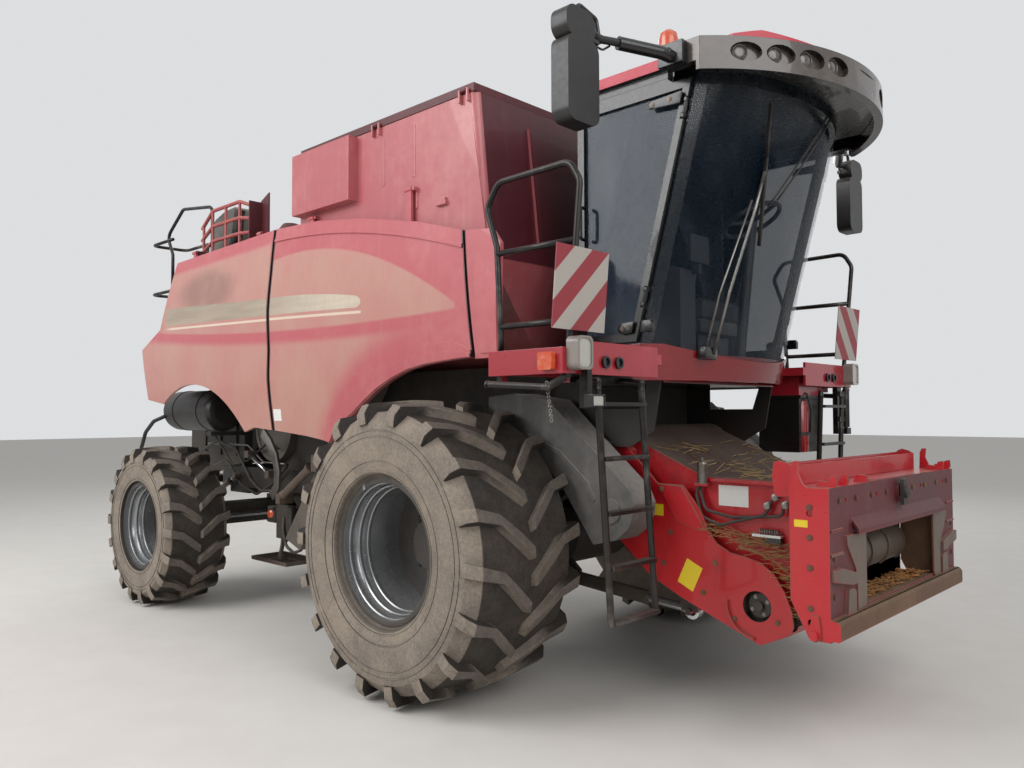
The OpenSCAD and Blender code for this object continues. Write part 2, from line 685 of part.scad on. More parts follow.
// Two creases below the panel's top edge
crease_xs = [-1990 : 230 : 310];
function crease(x) = 2922.7 - 0.2548 * x - 0.0000563 * x * x;
function crease_low(x) = 2903.4 - 0.2733 * x - 0.0000657 * x * x;
module above_crease() polygon(concat([for (x = crease_xs) [x, crease(x)]],
    [[420, 3400], [-1996, 3400]]));
module crease_ridge() polygon(concat([for (x = crease_xs) [x - 3, crease(x) + 4]],
    backwards([for (x = crease_xs) [x - 3, crease_low(x)]])));
module rear_panel_outline() difference() {
    polygon(concat([[-4510, 2430], [-4400, 1920], [-4030, 1870], [-3000, 1500],
        [-2330, 1660]], backwards(split_edge(-panel_gap / 2)), [[-3830, 3250], [-4090, 2610]]));
    translate([-3420, 850]) circle(r = 1200, $fn = 96);
}
// Hinges along the top of the side panels: an eye on the panel, a pin on the body
hinge_y = tank_half + 30;
hinge_z = 3310;
hinge_pin_d = 18;
front_hinge_xs = [-1500, -300];
rear_hinge_xs = [-3500, -2300];
function panel_inner(z) = panel_y - panel_bend_r
    + sqrt(pow(panel_bend_r - panel_t, 2) - pow(z - panel_mid_z, 2));
module panel_eye(x, top_z) difference() {
    union() {
        translate([x - 30, hinge_y, hinge_z]) rotate([0, 90, 0]) cylinder(h = 60, d = 34);
        block([x - 25, hinge_y - 14, top_z - 70], [x + 25, hinge_y + 8, hinge_z]);
        block([x - 25, hinge_y - 14, top_z - 70],
            [x + 25, panel_inner(top_z - 40) + 15, top_z - 40]);
    }
    translate([x - 40, hinge_y, hinge_z]) rotate([0, 90, 0])
        cylinder(h = 80, d = hinge_pin_d + 2 * pin_gap);
}
module panel_pin(x, wall_y) {
    translate([x - 55, hinge_y, hinge_z]) rotate([0, 90, 0]) cylinder(h = 110, d = hinge_pin_d);
    for (s = [-1, 1]) translate([x + s * 45 - 10, 0, hinge_z]) {
        block([0, wall_y - 5, -130], [20, hinge_y - 22, 12]);
        block([0, hinge_y - 30, -12], [20, hinge_y + 8, 12]);
    }
}
module side_panel_front_left() color(faded_red) placed() {
    on_panel(0) front_panel_outline();
    on_panel(5) intersection() {
        translate([2, -4]) front_panel_outline();
        above_crease();
    }
    on_panel(11) crease_ridge();
    on_panel(flare_h / 2) polygon(concat(arch_in, backwards(arch_out)));
    on_panel(flare_h) polygon(concat(arch_at(0.04), backwards(arch_at(0.5))));
    panel_eye(front_hinge_xs[0], 3260);
    panel_eye(front_hinge_xs[1], 3080);
}
module side_panel_front_right() mirror([0, 1, 0]) side_panel_front_left();
module side_panel_rear_left() color(faded_red) placed() {
    on_panel(0) rear_panel_outline();
    for (x = rear_hinge_xs) panel_eye(x, 3260);
}
module side_panel_rear_right() mirror([0, 1, 0]) side_panel_rear_left();

module corner_panels() color(faded_red) placed() both_sides() {
    on_panel(0) polygon(corner_edge);
    on_panel(9) polygon([[460, 2200], [395, 2860], [560, 2870], [618, 2790], [618, 2140],
        [480, 2140]]);
}
corner_edge = [[318, 2925], [418, 2150], [418, deck_z], [640, deck_z], [640, 2800], [560, 2900]];

// Cab: everything is cut from one leaning solid with a curved front
screen_x = 1515;
module cab_lean() translate([screen_x, 0, cab_floor_z]) rotate([0, screen_lean, 0]) children();
module cab_front(inset) cab_lean() translate([-screen_r, 0, -400])
    cylinder(h = 2800, r = screen_r - inset, $fn = 360);
module cab_solid(inset, z0, z1) intersection() {
    cab_front(inset);
    block([cab_rear + inset, -cab_half + inset, z0], [2600, cab_half - inset, z1]);
}
// Leaning opening between two heights, from x0 to x1 measured at the floor
module cab_opening(x0, x1, y0, y1, z0, z1) intersection() {
    cab_lean() block([x0 - screen_x, y0, -300], [x1 - screen_x, y1, 2600]);
    block([0, y0, z0], [3500, y1, z1]);
}
sill_z = cab_floor_z + 170;
header_z = cab_top_z - 70;
a_pillar_x = 1190;
module cab_shell() color(dark) placed() {
    difference() {
        cab_solid(0, cab_floor_z, cab_top_z);
        cab_solid(40, cab_floor_z + 50, cab_top_z + 10);
        cab_opening(a_pillar_x, 2600, -cab_half + pillar_w, cab_half - pillar_w,
            cab_floor_z + 70, header_z);
        cab_opening(cab_rear + 20, a_pillar_x - pillar_w / 2, -1000, 1000, sill_z, header_z);
    }
    both_sides() for (h = door_hinge_zs) door_hinge_place(h) {
        translate([0, 0, -55]) cylinder(h = 110, d = door_pin_d);
        for (z = [-57, 35]) block([-14, cab_half - 4 - door_y1, z], [3.5, 10, z + 22]);
    }
    // Box frame under the cab and its front skirt
    block([560, -720, 1960], [1280, 720, cab_floor_z]);
    color(red) difference() {
        cab_solid(-skirt_out, cab_floor_z - 90, cab_floor_z + 128);
        cab_solid(-skirt_out + 14, cab_floor_z + 10, cab_floor_z + 160);
        cab_solid(0, cab_floor_z - 100, cab_floor_z + 60);
        block([0, -1000, 1500], [a_pillar_x - 20, 1000, 2600]);
        translate([0, 0, cab_floor_z + 40 + skirt_r]) rotate([0, 90, 0])
            cylinder(h = 3000, r = skirt_r, $fn = 240);
    }
    // Seals beside the front pillars
    both_sides() cab_lean() for (x = [a_pillar_x - pillar_w / 2 + 4, a_pillar_x - 12])
        block([x - screen_x, cab_half - 2, 190], [x - screen_x + 8, cab_half + 5, 1560]);
}
// The skirt stands out in front of the glass, and its upper edge rises to the sides
skirt_out = 28;
skirt_r = 3740;
module windscreen() color(glass) placed() difference() {
    cab_solid(-1 - glass_t, cab_floor_z + 42, cab_top_z - 6);
    cab_front(-0.3);
    block([0, -1000, 1500], [a_pillar_x + 6, 1000, 4000]);
}
door_x0 = cab_rear + 30;
door_x1 = a_pillar_x - pillar_w / 2 - 4;
// A door's front edge and outer face, where its hinges lie
door_edge = door_x1 + 45;
door_y0 = cab_half + 6;
door_y1 = door_y0 + 30;
door_pin_d = 12;
// Heights of the hinges along the leaning pillar, above the floor
door_hinge_zs = [330, 1430];
module door_hinge_place(h) cab_lean() translate([door_edge - screen_x, door_y1, h]) children();
module cab_door_left() color(dark) placed() {
    difference() {
        intersection() {
            cab_lean() block([door_x0 - 400 - screen_x, door_y0, -300],
                [door_edge - screen_x, door_y1, 2600]);
            block([door_x0, cab_half, sill_z - 30], [3000, cab_half + 60, header_z + 20]);
        }
        intersection() {
            cab_lean() block([door_x0 - 400 - screen_x, door_y0 + glass_t, -300],
                [door_x1 - screen_x, cab_half + 60, 2600]);
            block([door_x0 + 50, cab_half, sill_z + 20], [3000, cab_half + 60, header_z - 30]);
        }
        for (h = door_hinge_zs) door_hinge_place(h)
            block([-22, -60, -65], [30, 30, 65]);
    }
    for (h = door_hinge_zs) door_hinge_place(h) difference() {
        union() {
            translate([0, 0, -30]) cylinder(h = 60, d = 2 * door_pin_d);
            block([-40, -20, -30], [0, 0, 30]);
        }
        translate([0, 0, -40]) cylinder(h = 80, d = door_pin_d + 2 * pin_gap);
    }
}
module cab_door_right() mirror([0, 1, 0]) cab_door_left();

roof_front = 2262;
roof_r = 1420;
roof_half = cab_half + 50;
roof_crown_z = cab_top_z + 222;
// Front lamp band: its height, its thickness and its half width
band_z0 = cab_top_z - 90;
band_z1 = cab_top_z + 95;
band_t = 55;
band_half = 1080;
module roof_outline(inset) intersection() {
    translate([roof_front - roof_r, 0]) circle(r = roof_r - inset, $fn = 120);
    translate([640 + inset, -roof_half + inset]) square([2000, 2 * (roof_half - inset)]);
}
module band_outline(inset) intersection() {
    translate([roof_front - roof_r, 0]) circle(r = roof_r - inset, $fn = 120);
    polygon([[1480, -roof_half - 5 + inset], [1560, -band_half + inset], [2400, -band_half + inset],
        [2400, band_half - inset], [1560, band_half - inset], [1480, roof_half + 5 - inset]]);
}
module cab_roof() color(red) placed() difference() {
    intersection() {
        union() {
            translate([0, 0, cab_top_z]) linear_extrude(51) roof_outline(band_t + 1);
            translate([0, 0, cab_top_z + 50]) linear_extrude(210) roof_outline(18);
        }
        translate([0, 0, roof_crown_z - 4200]) rotate([0, 90, 0])
            cylinder(h = 3000, r = 4200, $fn = 180);
        translate([1250, 0, roof_crown_z - 3600]) rotate([90, 0, 0])
            cylinder(h = 3000, r = 3600, center = true, $fn = 180);
    }
    translate([0, 0, band_z0]) linear_extrude(band_z1 - band_z0 + 0.3) difference() {
        band_outline(-1);
        band_outline(band_t + 0.3);
    }
    translate([0, 0, band_z1 - 14]) linear_extrude(14.3) band_outline(-1);
}
lamp_angles = [13.5, 22, 30.5, 39];
lamp_z = cab_top_z + 10;
module lamp_places() translate([roof_front - roof_r, 0, lamp_z]) both_sides()
    for (a = lamp_angles) rotate(a) children();
module roof_lights() color(dust) placed() {
    difference() {
        translate([0, 0, band_z0]) linear_extrude(band_z1 - band_z0) band_outline(0);
        translate([0, 0, band_z0 - 1]) linear_extrude(band_z1 - band_z0 - 12)
            band_outline(band_t);
        // Room for the opening doors
        both_sides() block([1200, 880, band_z0 - 1], [1740, 1200, cab_top_z - 36]);
        lamp_places() translate([roof_r - 40, 0, 0]) rotate([0, 90, 0]) linear_extrude(60)
            polygon([for (a = [0 : 15 : 345]) [54 * cos(a), 92 * sin(a)]]);
        translate([roof_front - roof_r, 0, lamp_z]) rotate([0, 90, 0])
            translate([0, 0, roof_r - 6]) linear_extrude(20) polygon(rounded(90, 420, 30));
    }
    // Round lamp at the outer end of each pocket
    lamp_places() translate([roof_r - 41, 34, 0]) rotate([0, 90, 0])
        cylinder(h = 20, d = 84, $fn = 48);
    // Beacon on its foot
    translate([1336, -720, cab_top_z + 168]) rotate_extrude() polygon([
        [0, 0], [46, 0], [46, 66], [62, 70], [64, 86], [60, 156], [52, 191], [30, 210],
        [0, 215.6]]);
}

module seat() color(dark) placed() {
    block([880, -260, cab_floor_z + 50.3], [1230, 260, cab_floor_z + 330]);
    block([880, -270, cab_floor_z + 330], [1290, 270, cab_floor_z + 470]);
    block([830, -250, cab_floor_z + 420], [940, 250, cab_floor_z + 1120]);
}
module steering_column() color(dark) placed() {
    block([1340, -70, cab_floor_z + 50.3], [1460, 70, cab_floor_z + 66]);
    bar([1400, 0, cab_floor_z + 58], [1500, 0, 3030], 70);
    translate([1500, 0, 3040]) rotate([0, -25, 0]) {
        rotate_extrude() translate([190, 0]) circle(d = 30);
        for (a = [0 : 120 : 240]) rotate(a) bar([0, 0, -15], [188, 0, 0], 26);
    }
    block([900, -560, cab_floor_z + 50.3], [1300, -380, cab_floor_z + 620]);
}

// Platforms beside the cab, with the fixed ladder on the right
deck_t = 60;
deck_in = cab_half + 40;
module platform_right() {
    block([640, -1460, deck_z - deck_t], [deck_front, -deck_in, deck_z]);
    block([880, -deck_half, deck_z - deck_t], [deck_front, -1459, deck_z]);
    block([880, -deck_half, fascia_z], [deck_front, -deck_half + 20, deck_z - deck_t + 1]);
    block([deck_front - 20, -deck_half, fascia_z], [deck_front, -deck_in - 40, deck_z]);
    block([deck_front - 20, 100 - deck_half, deck_z - 1],
        [deck_front, -deck_in - 40, deck_z + 40]);
    // Beam that carries the ladder
    block([deck_front - 160, -1640, fascia_z - 40], [deck_front - 110, -1080,
        deck_z - deck_t + 1]);
    // Bent tube under the fascia
    tube([[900, -deck_half + 60, 1930], [900, -deck_half - 22, 1930], [1330, -deck_half - 22, 1905],
        [1395, -deck_half + 40, 1960]], 40);
    block([905, -deck_half + 40, 1925], [945, -deck_half + 80, deck_z - deck_t + 1]);
    block([1370, -deck_half + 30, 1955], [1409, -deck_half + 70, deck_z - deck_t + 1]);
}
// Ladder rails: distance from the middle plane at the top and at the bottom
ladder_rails = [[1580, 1472], [1185, 1060]];
ladder_z0 = 652;
ladder_z1 = 1900;
function rail_at(r, z) = -(r.x + (r.y - r.x) * (ladder_z1 - z) / (ladder_z1 - ladder_z0));
module ladder_at(top) {
    for (r = ladder_rails)
        tube(concat(top ? [[deck_front - 135, -r.x, fascia_z - 20]] : [],
            [[deck_front + 25, -r.x, 1940], [deck_front + 25, -r.x, ladder_z1],
            [deck_front + 25, -r.y, ladder_z0]]), 38);
    for (i = [0 : 4]) {
        z = 1820 - i * 288;
        block([deck_front + 2, rail_at(ladder_rails[0], z) + 5, z - 11],
            [deck_front + 62, rail_at(ladder_rails[1], z) - 5, z + 11]);
    }
}
module platforms() color(red) placed() {
    both_sides() platform_right();
    ladder_at(true);
    // Bracket of the lower lamp
    block([deck_front - 15, -1680, 1800], [deck_front + 40, -1640, fascia_z + 30]);
    both_sides() for (x = [600, 1090])
        block([x, 736, 2000], [x + 60, (x < 880 ? 1440 : deck_half - 40), deck_z - deck_t]);
    translate([ladder_hinge_x, ladder_hinge_y, 1650]) cylinder(h = 330, d = 30 - 2 * pin_gap);
    block([deck_front - 60, ladder_hinge_y - 40, 1600],
        [ladder_hinge_x + 25, ladder_hinge_y + 40, 1650]);
    block([deck_front - 60, ladder_hinge_y - 40, 1600],
        [deck_front - 20, ladder_hinge_y + 40, deck_z - deck_t + 1]);
    // Battery box under the left platform
    block([1000, 1035, 1470], [1330, 1440, deck_z - deck_t + 1]);
    block([985, 1030, 1880], [1345, 1446, 1905]);
}
ladder_hinge_x = 1440;
ladder_hinge_y = 1645;
module ladder_left() color(grey) placed() {
    mirror([0, 1, 0]) ladder_at(false);
    difference() {
        union() {
            translate([ladder_hinge_x, ladder_hinge_y, 1655]) cylinder(h = 300, d = 56);
            block([ladder_hinge_x - 12, 1500, 1700], [ladder_hinge_x + 12, ladder_hinge_y, 1740]);
            block([ladder_hinge_x - 12, 1510, 1900], [ladder_hinge_x + 12, ladder_hinge_y, 1940]);
        }
        translate([ladder_hinge_x, ladder_hinge_y, 1640]) cylinder(h = 330, d = 30);
    }
}

module handrails() color(grey) placed() both_sides() {
    tube([[900, rail_pos_y, deck_z], [900, rail_pos_y, deck_z + 60], [870, rail_pos_y, 2700],
        [790, rail_pos_y, 2930], [880, rail_pos_y, 3060], [1400, rail_pos_y, 3070],
        [1465, rail_pos_y, 2960], [1390, rail_pos_y, deck_z + 60],
        [1390, rail_pos_y, deck_z]], rail_d);
    bar([890, rail_pos_y, 2250], [1402, rail_pos_y, 2250], rail_d);
    bar([872, rail_pos_y, 2660], [1438, rail_pos_y, 2660], rail_d);
}
rail_pos_y = deck_half - 80;

module warning_boards() color("white") placed() both_sides() {
    translate([1390, 0, deck_z]) rotate([0, atan2(75, 850), 0])
        translate([rail_d / 2 + 0.3, 1500, 90]) cube([6, 423, 423]);
}
// Lamps on the platforms' front: a tall pod, two sockets, a marker and a work lamp
pod_z = 2080;
module headlamps() color("white") placed() {
    both_sides() lamp_set();
    difference() {
        block([deck_front + 40.3, -1712, 1805], [deck_front + 100, -1608, 1870]);
        block([deck_front + 92, -1704, 1813], [deck_front + 110, -1616, 1862]);
    }
}
module lamp_set() {
    difference() {
        translate([deck_front + 0.3, 1740, pod_z]) rotate([90, 0, 90]) linear_extrude(78)
            polygon(rounded(124, 172, 34));
        translate([deck_front + 70, 1740, pod_z]) rotate([90, 0, 90]) linear_extrude(20)
            polygon(rounded(96, 144, 26));
    }
    for (y = [1364, 1480]) translate([deck_front + 0.3, y, 2045]) rotate([0, 90, 0])
        difference() {
            cylinder(h = 16, d = 66);
            translate([0, 0, 5]) cylinder(h = 20, d = 46);
        }
    translate([1316, deck_half + 0.3, 2040]) rotate([-90, 0, 0]) linear_extrude(32)
        polygon(rounded(96, 92, 14));
}
// Mirrors on arms from the corners of the roof
mirror_x = 1450;
mirror_y = 1764;
module mirrors() color(dark) placed() both_sides() {
    tube([[1620, band_half + 0.3, 3758], [1620, band_half + 90, 3758], [mirror_x, 1556, 3755],
        [mirror_x, mirror_y, 3790], [mirror_x, mirror_y, 3640]], 42);
    block([mirror_x - 30, 1600, 3700], [mirror_x + 30, mirror_y, 3722]);
    translate([mirror_x - 55, mirror_y, 3460]) rotate([90, 0, 90]) linear_extrude(112)
        polygon(rounded(250, 440, 62));
    translate([mirror_x - 48, mirror_y + 20, 3745]) rotate([90, 0, 90]) linear_extrude(104)
        polygon(rounded(230, 160, 66));
}

feeder_shaft_d = 80;
// Feeder house on its hinge: a channel between two outer side plates
hood_r = 172;
feeder_front = front_reach - 264;
// The outer side plate's edge, without its lower web
plate_edge = [[800, 1680], [1000, 1540], [1150, 1400], [1198, 1350], [1212, 1342],
    [1388, 1340], [1470, 1240], [1502, 1200], [1530, 1140], [1554, 1081], [1610, 1015],
    [1695, 972], [1789, 958], [1886, 936], [1965, 880], [2024, 790], [2062, 690],
    [2070, 609], [2050, 560], [1873, 475], [1352, 674], [1145, 772], [919, 964],
    [700, 1300], [650, 1440], [680, 1600]];
bearing_x = 1858;
bearing_z = 690;
module feeder_outline(t) {
    translate([feeder_x, feeder_z]) circle(r = hood_r - t);
    polygon([
        [feeder_x, feeder_z + hood_r - t], [1500, 1390 - t], [feeder_front + 2 * t, 1385 - t],
        [feeder_front + 2 * t, 650 + t], [2060, 600 + t], [1873, 500 + t], [1352, 694 + t],
        [1145, 800 + t], [940, 985 + t], [feeder_x - 140 + t, feeder_z - 100]]);
}
module feeder_house() color(bright_red) placed() {
    difference() {
        union() {
            side_plate(-channel_half, channel_half) feeder_outline(0);
            side_plate(-feeder_half, feeder_half) polygon(plate_edge);
        }
        side_plate(-channel_half + feeder_plate, channel_half - feeder_plate)
            feeder_outline(feeder_plate);
        side_plate(-channel_half + 60, channel_half - 60) polygon([
            [500, 1100], [980, 900], [900, 1400], [500, 1450]]);
        // Space between the channel and each outer plate, open at the top and front
        both_sides() side_plate(channel_half, feeder_half - 12) polygon([
            [1000, 955], [1158, 792], [1358, 690], [1875, 491], [2080, 590], [2200, 620],
            [2200, 1800], [1000, 1800]]);
        both_sides() translate([bearing_x, feeder_half - 13, bearing_z]) about_y()
            cylinder(h = 14, r = 86);
        both_sides() translate([1245, feeder_half - 13, 1305]) about_y()
            cylinder(h = 14, d = 26, $fn = 20);
        about_feeder_hinge() cylinder(h = 2000, d = feeder_shaft_d + 2 * pin_gap, center = true);
    }
    both_sides() {
        // Bearing seen through the hole, and the ring guard round it
        translate([bearing_x, channel_half - 2, bearing_z]) about_y() {
            cylinder(h = 34, d = 140);
            cylinder(h = 60, d = 52);
        }
        side_plate(feeder_half - 1, feeder_half + 20) translate([bearing_x, bearing_z])
            polygon(concat([for (a = [176 : 9 : 266]) 188 * [cos(a), sin(a)]],
                [for (a = [266 : -9 : 176]) 174 * [cos(a), sin(a)]]));
        // Gusset on the outer plate and a stay below it
        side_plate(feeder_half - 1, feeder_half + 8) polygon([
            [1215, 1338], [1380, 1334], [1535, 1090], [1470, 1085], [1350, 1115]]);
        // Stiffeners in the space behind the plate
        for (x = [1480, 1760]) side_plate(channel_half - 1, feeder_half - 11) polygon([
            [x, 640], [x + 14, 640], [x + 14, 900], [x, 900]]);
        // Channel-shaped ledge along the upper edge of the channel
        side_plate(channel_half - 1, channel_half + 42) polygon([
            [1560, 1383], [2170, 1378], [2170, 1364], [1560, 1369]]);
    }
    // Pressure vessel on the right side
    block([1460, -feeder_half + 4, 1340], [1540, -channel_half + 1, 1356]);
    translate([1500, -655, 1350]) rotate_extrude($fn = 32) polygon([
        [0, 0], [26, 0], [30, 8], [30, 118], [24, 132], [12, 138], [12, 158], [0, 158]]);
    // Open trough beam across the front, with its end plates
    side_plate(-trough_half, trough_half) polygon([
        [2084, 1372], [2078, 1505], [2090, 1505], [2100, 1390], [2158, 1390], [2170, 1498],
        [2183, 1498], [2183, 1340], [2100, 1340]]);
    both_sides() side_plate(trough_half - 12, trough_half) polygon([
        [2084, 1345], [2070, 1440], [2078, 1512], [2110, 1526], [2150, 1516], [2183, 1498],
        [2183, 1340], [2100, 1335]]);
    block([2150, -80, 1225], [feeder_front, 80, 1350]);
    translate([2180, 0, tilt_z]) rotate([0, 90, 0]) cylinder(h = 70, d = tilt_pin_d);
    both_sides() {
        block([eye_x - 60, 470, eye_z], [eye_x + 60, 490, 720]);
        block([eye_x - 60, 550, eye_z], [eye_x + 60, 570, 720]);
        translate([eye_x, 450, eye_z]) about_y() cylinder(h = 140, d = 40);
    }
}
trough_half = 920;
module about_feeder_hinge() translate([feeder_x, 0, feeder_z]) about_y() children();

// Front drum with its hoops, on a shaft across the channel
drum_x = 2110;
drum_z = 955;
drum_half = 560;
module feeder_drum() color(grey) placed() translate([drum_x, 0, drum_z]) about_y() {
    cylinder(h = 2 * drum_half, d = drum_d, center = true);
    for (i = [-2 : 2]) translate([0, 0, i * 260]) cylinder(h = 12, d = drum_d + 20, center = true);
    cylinder(h = 2 * (channel_half - feeder_plate - 0.3), d = 60, center = true);
}

// Adapter frame that tilts on the front of the feeder
adapter_x = feeder_front + adapter_gap;
face_x = front_reach - 50;
bar_z0 = 655;
bar_z1 = 757;
tilt_z = 1285;
tilt_pin_d = 50;
adapter_edge = [[adapter_x, 1396], [adapter_x, 830], [2285, 655], [2300, 645],
    [face_x, 645], [face_x, 1400]];
module adapter_frame() color(bright_red) placed() {
    difference() {
        side_plate(-adapter_half, adapter_half) polygon(adapter_edge);
        block([adapter_x - 10, -mouth_half, mouth_z0], [face_x + 10, mouth_half, mouth_z1]);
        translate([adapter_x - 10, 0, tilt_z]) rotate([0, 90, 0])
            cylinder(h = 75, d = tilt_pin_d + 2 * pin_gap);
        // Space behind the face, open to the rear
        both_sides() side_plate(mouth_half + 16, adapter_half - 14) polygon([
            [adapter_x - 1, 1382], [adapter_x - 1, 850], [2293, 668], [face_x - 14, 660],
            [face_x - 14, 1384]]);
        both_sides() block([adapter_x - 1, 110, mouth_z1 + 14],
            [face_x - 14, mouth_half + 1, 1382]);
        // Slots and holes in the face and the side plates
        both_sides() for (z = [700, 1240]) translate([2300, adapter_half - 20, z + 30])
            about_y() cylinder(h = 30, d = 34, $fn = 24);
        both_sides() for (y = [360, 780]) translate([face_x - 20, y, 1330])
            rotate([0, 90, 0]) cylinder(h = 30, d = 22, $fn = 20);
    }
    // Lower bar with a rounded top
    side_plate(-adapter_half, adapter_half) polygon([
        [face_x - 20, bar_z0], [front_reach - 10, bar_z0], [front_reach, bar_z0 + 10],
        [front_reach, bar_z1 - 26], [front_reach - 6, bar_z1 - 12], [front_reach - 18, bar_z1 - 3],
        [front_reach - 30, bar_z1], [face_x - 20, bar_z1]]);
    // Hood over the opening
    side_plate(-710, 710) polygon([
        [face_x - 1, 1236], [face_x + 40, 1176], [face_x + 40, 1150], [face_x + 28, 1150],
        [face_x + 28, 1172], [face_x - 1, 1212]]);
    both_sides() {
        // Worn guide frames beside the opening and the brackets under them
        cross_plate(face_x - 1, face_x + 12) polygon([
            [545, 1150], [800, 1150], [792, 1100], [690, 975], [668, 900], [668, 756],
            [560, 756], [545, 800]]);
        cross_plate(face_x - 1, face_x + 24) polygon([
            [700, 955], [880, 1000], [968, 1000], [968, 940], [760, 900], [700, 900]]);
        cross_plate(face_x - 1, face_x + 18) polygon([
            [700, 756], [700, 860], [730, 880], [790, 880], [810, 756]]);
        // Hooked ears on the top edge
        for (y = [762, 900]) side_plate(y, y + 14) polygon([
            [2300, 1395], [2318, 1432], [2366, 1428], [2380, 1454], [2410, 1460],
            [2414, 1420], [face_x, 1395]]);
        side_plate(adapter_half - 16, adapter_half) polygon([
            [2200, 1390], [2204, 1500], [2216, 1528], [2244, 1530], [2240, 1470],
            [2262, 1420], [2290, 1395]]);
        // Latch lever and its pin at the lower corner
        side_plate(adapter_half - 1, adapter_half + 14) polygon([
            [2296, 700], [2310, 770], [2345, 770], [2352, 700], [2352, 660], [2330, 640],
            [2304, 646], [2292, 668]]);
        translate([2322, adapter_half - 1, 672]) about_y() cylinder(h = 32, d = 44, $fn = 28);
    }
    // Ribs of the face, the coupling plate and the middle ear
    both_sides() for (z = [1060, 1180]) block([face_x - 1, 830, z], [face_x + 6, 975, z + 14]);
    side_plate(-477, -463) polygon([
        [2320, 1395], [2336, 1440], [2392, 1436], [face_x, 1395]]);
    translate([face_x - 1, -30, 1318]) rotate([0, 90, 0]) {
        cylinder(h = 18, d = 104, $fn = 40);
        cylinder(h = 34, d = 46, $fn = 32);
    }
    block([face_x - 1, -58, 1262], [face_x + 22, -2, 1296]);
}

lift_base_x = 380;
lift_base_z = 640;
eye_x = 1350;
eye_z = 560;
lift_len = norm([eye_x - lift_base_x, eye_z - lift_base_z]);
lift_angle = atan2(eye_z - lift_base_z, eye_x - lift_base_x);
barrel_len = 640;
module lift_line() translate([lift_base_x, 0, lift_base_z]) rotate([0, 90 - lift_angle, 0]) children();
module lift_barrels() color(dark) placed() both_sides() translate([0, 520, 0]) difference() {
    union() {
        lift_line() translate([0, 0, 20]) cylinder(h = 70, d = 44);
        lift_line() translate([0, 0, 75]) cylinder(h = barrel_len - 75, d = 90);
        translate([lift_base_x, -22, lift_base_z]) about_y() cylinder(h = 44, d = 96);
    }
    lift_line() translate([0, 0, 100]) cylinder(h = barrel_len, d = 50 + 2 * pin_gap);
    translate([lift_base_x, -60, lift_base_z]) about_y() cylinder(h = 120, d = 50 + 2 * pin_gap);
}
module lift_rods() color(silver) placed() both_sides() translate([0, 520, 0]) difference() {
    union() {
        lift_line() translate([0, 0, 265]) cylinder(h = lift_len - 265 - 20, d = 50);
        translate([eye_x, -24, eye_z]) about_y() cylinder(h = 48, d = 104);
    }
    translate([eye_x, -60, eye_z]) about_y() cylinder(h = 120, d = 62);
}

frame();
front_axle();
rear_axle();
lower_body();
fuel_tank();
engine();
engine_deck();
straw_hood();
drive_shields();
spreader_disc_left();
spreader_disc_right();
rear_panel();
deck_rails();
grain_tank();
tank_cover_left();
tank_cover_right();
unloading_auger();
side_panel_front_left();
side_panel_front_right();
side_panel_rear_left();
side_panel_rear_right();
corner_panels();
cab_shell();
windscreen();
cab_door_left();
cab_door_right();
cab_roof();
roof_lights();
seat();
steering_column();
platforms();
ladder_left();
handrails();
warning_boards();
headlamps();
mirrors();
feeder_house();
feeder_drum();
adapter_frame();
lift_barrels();
lift_rods();
tyre_front_left();
tyre_front_right();
tyre_rear_left();
tyre_rear_right();
rim_front_left();
rim_front_right();
rim_rear_left();
rim_rear_right();
knuckle_left();
knuckle_right();
steering_rods();
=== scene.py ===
"""Looks of a combine harvester without a header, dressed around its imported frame.

Lengths are metres in the frame's axes: +X forward, +Y to the machine's left, +Z up.
Shapes that follow the body are measured along X from the front axle.
"""

import logging
import math
from collections.abc import Callable, Iterable, Sequence
from dataclasses import dataclass
from enum import Enum

import bmesh
import bpy
from mathutils import Matrix, Vector
from mathutils.bvhtree import BVHTree


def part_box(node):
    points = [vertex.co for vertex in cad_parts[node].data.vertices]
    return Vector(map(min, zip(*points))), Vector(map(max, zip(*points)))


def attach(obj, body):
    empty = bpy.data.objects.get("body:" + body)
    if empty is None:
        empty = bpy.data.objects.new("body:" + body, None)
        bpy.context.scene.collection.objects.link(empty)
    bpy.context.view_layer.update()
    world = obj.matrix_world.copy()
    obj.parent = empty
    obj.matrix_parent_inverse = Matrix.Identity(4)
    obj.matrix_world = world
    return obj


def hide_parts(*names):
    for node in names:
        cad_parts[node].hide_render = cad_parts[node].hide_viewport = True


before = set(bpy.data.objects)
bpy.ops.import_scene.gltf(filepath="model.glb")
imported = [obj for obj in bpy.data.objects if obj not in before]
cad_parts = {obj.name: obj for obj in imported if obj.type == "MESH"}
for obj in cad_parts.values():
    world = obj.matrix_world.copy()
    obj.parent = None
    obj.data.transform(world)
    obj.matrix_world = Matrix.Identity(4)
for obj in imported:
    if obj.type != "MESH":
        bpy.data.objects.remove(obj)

logging.basicConfig(level=logging.INFO, format="%(message)s")
LOG = logging.getLogger("harvester")

SIDES = (("left", 1.0), ("right", -1.0))
ENDS = ("front", "rear")
Point = tuple[float, float, float]
Pair = tuple[float, float]
Face = bmesh.types.BMFace


def centre_of(*nodes: str) -> Vector:
    """Finds the middle of the box round some CAD nodes.

    Args:
        nodes: Names of CAD nodes.

    Returns:
        The middle of their common box.
    """
    lows, highs = zip(*(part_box(node) for node in nodes))
    low = Vector(map(min, *lows)) if len(lows) > 1 else lows[0]
    high = Vector(map(max, *highs)) if len(highs) > 1 else highs[0]
    return (low + high) / 2


AXLE_X = centre_of("tyre_front_left").x


def at(x: float, y: float, z: float) -> Point:
    """Moves a point from the front axle's X to the frame's."""
    return AXLE_X + x, y, z


def wall(u: float, v: float, level: float) -> Point:
    """Places an outline in X and Z on a level of Y."""
    return AXLE_X + u, level, v


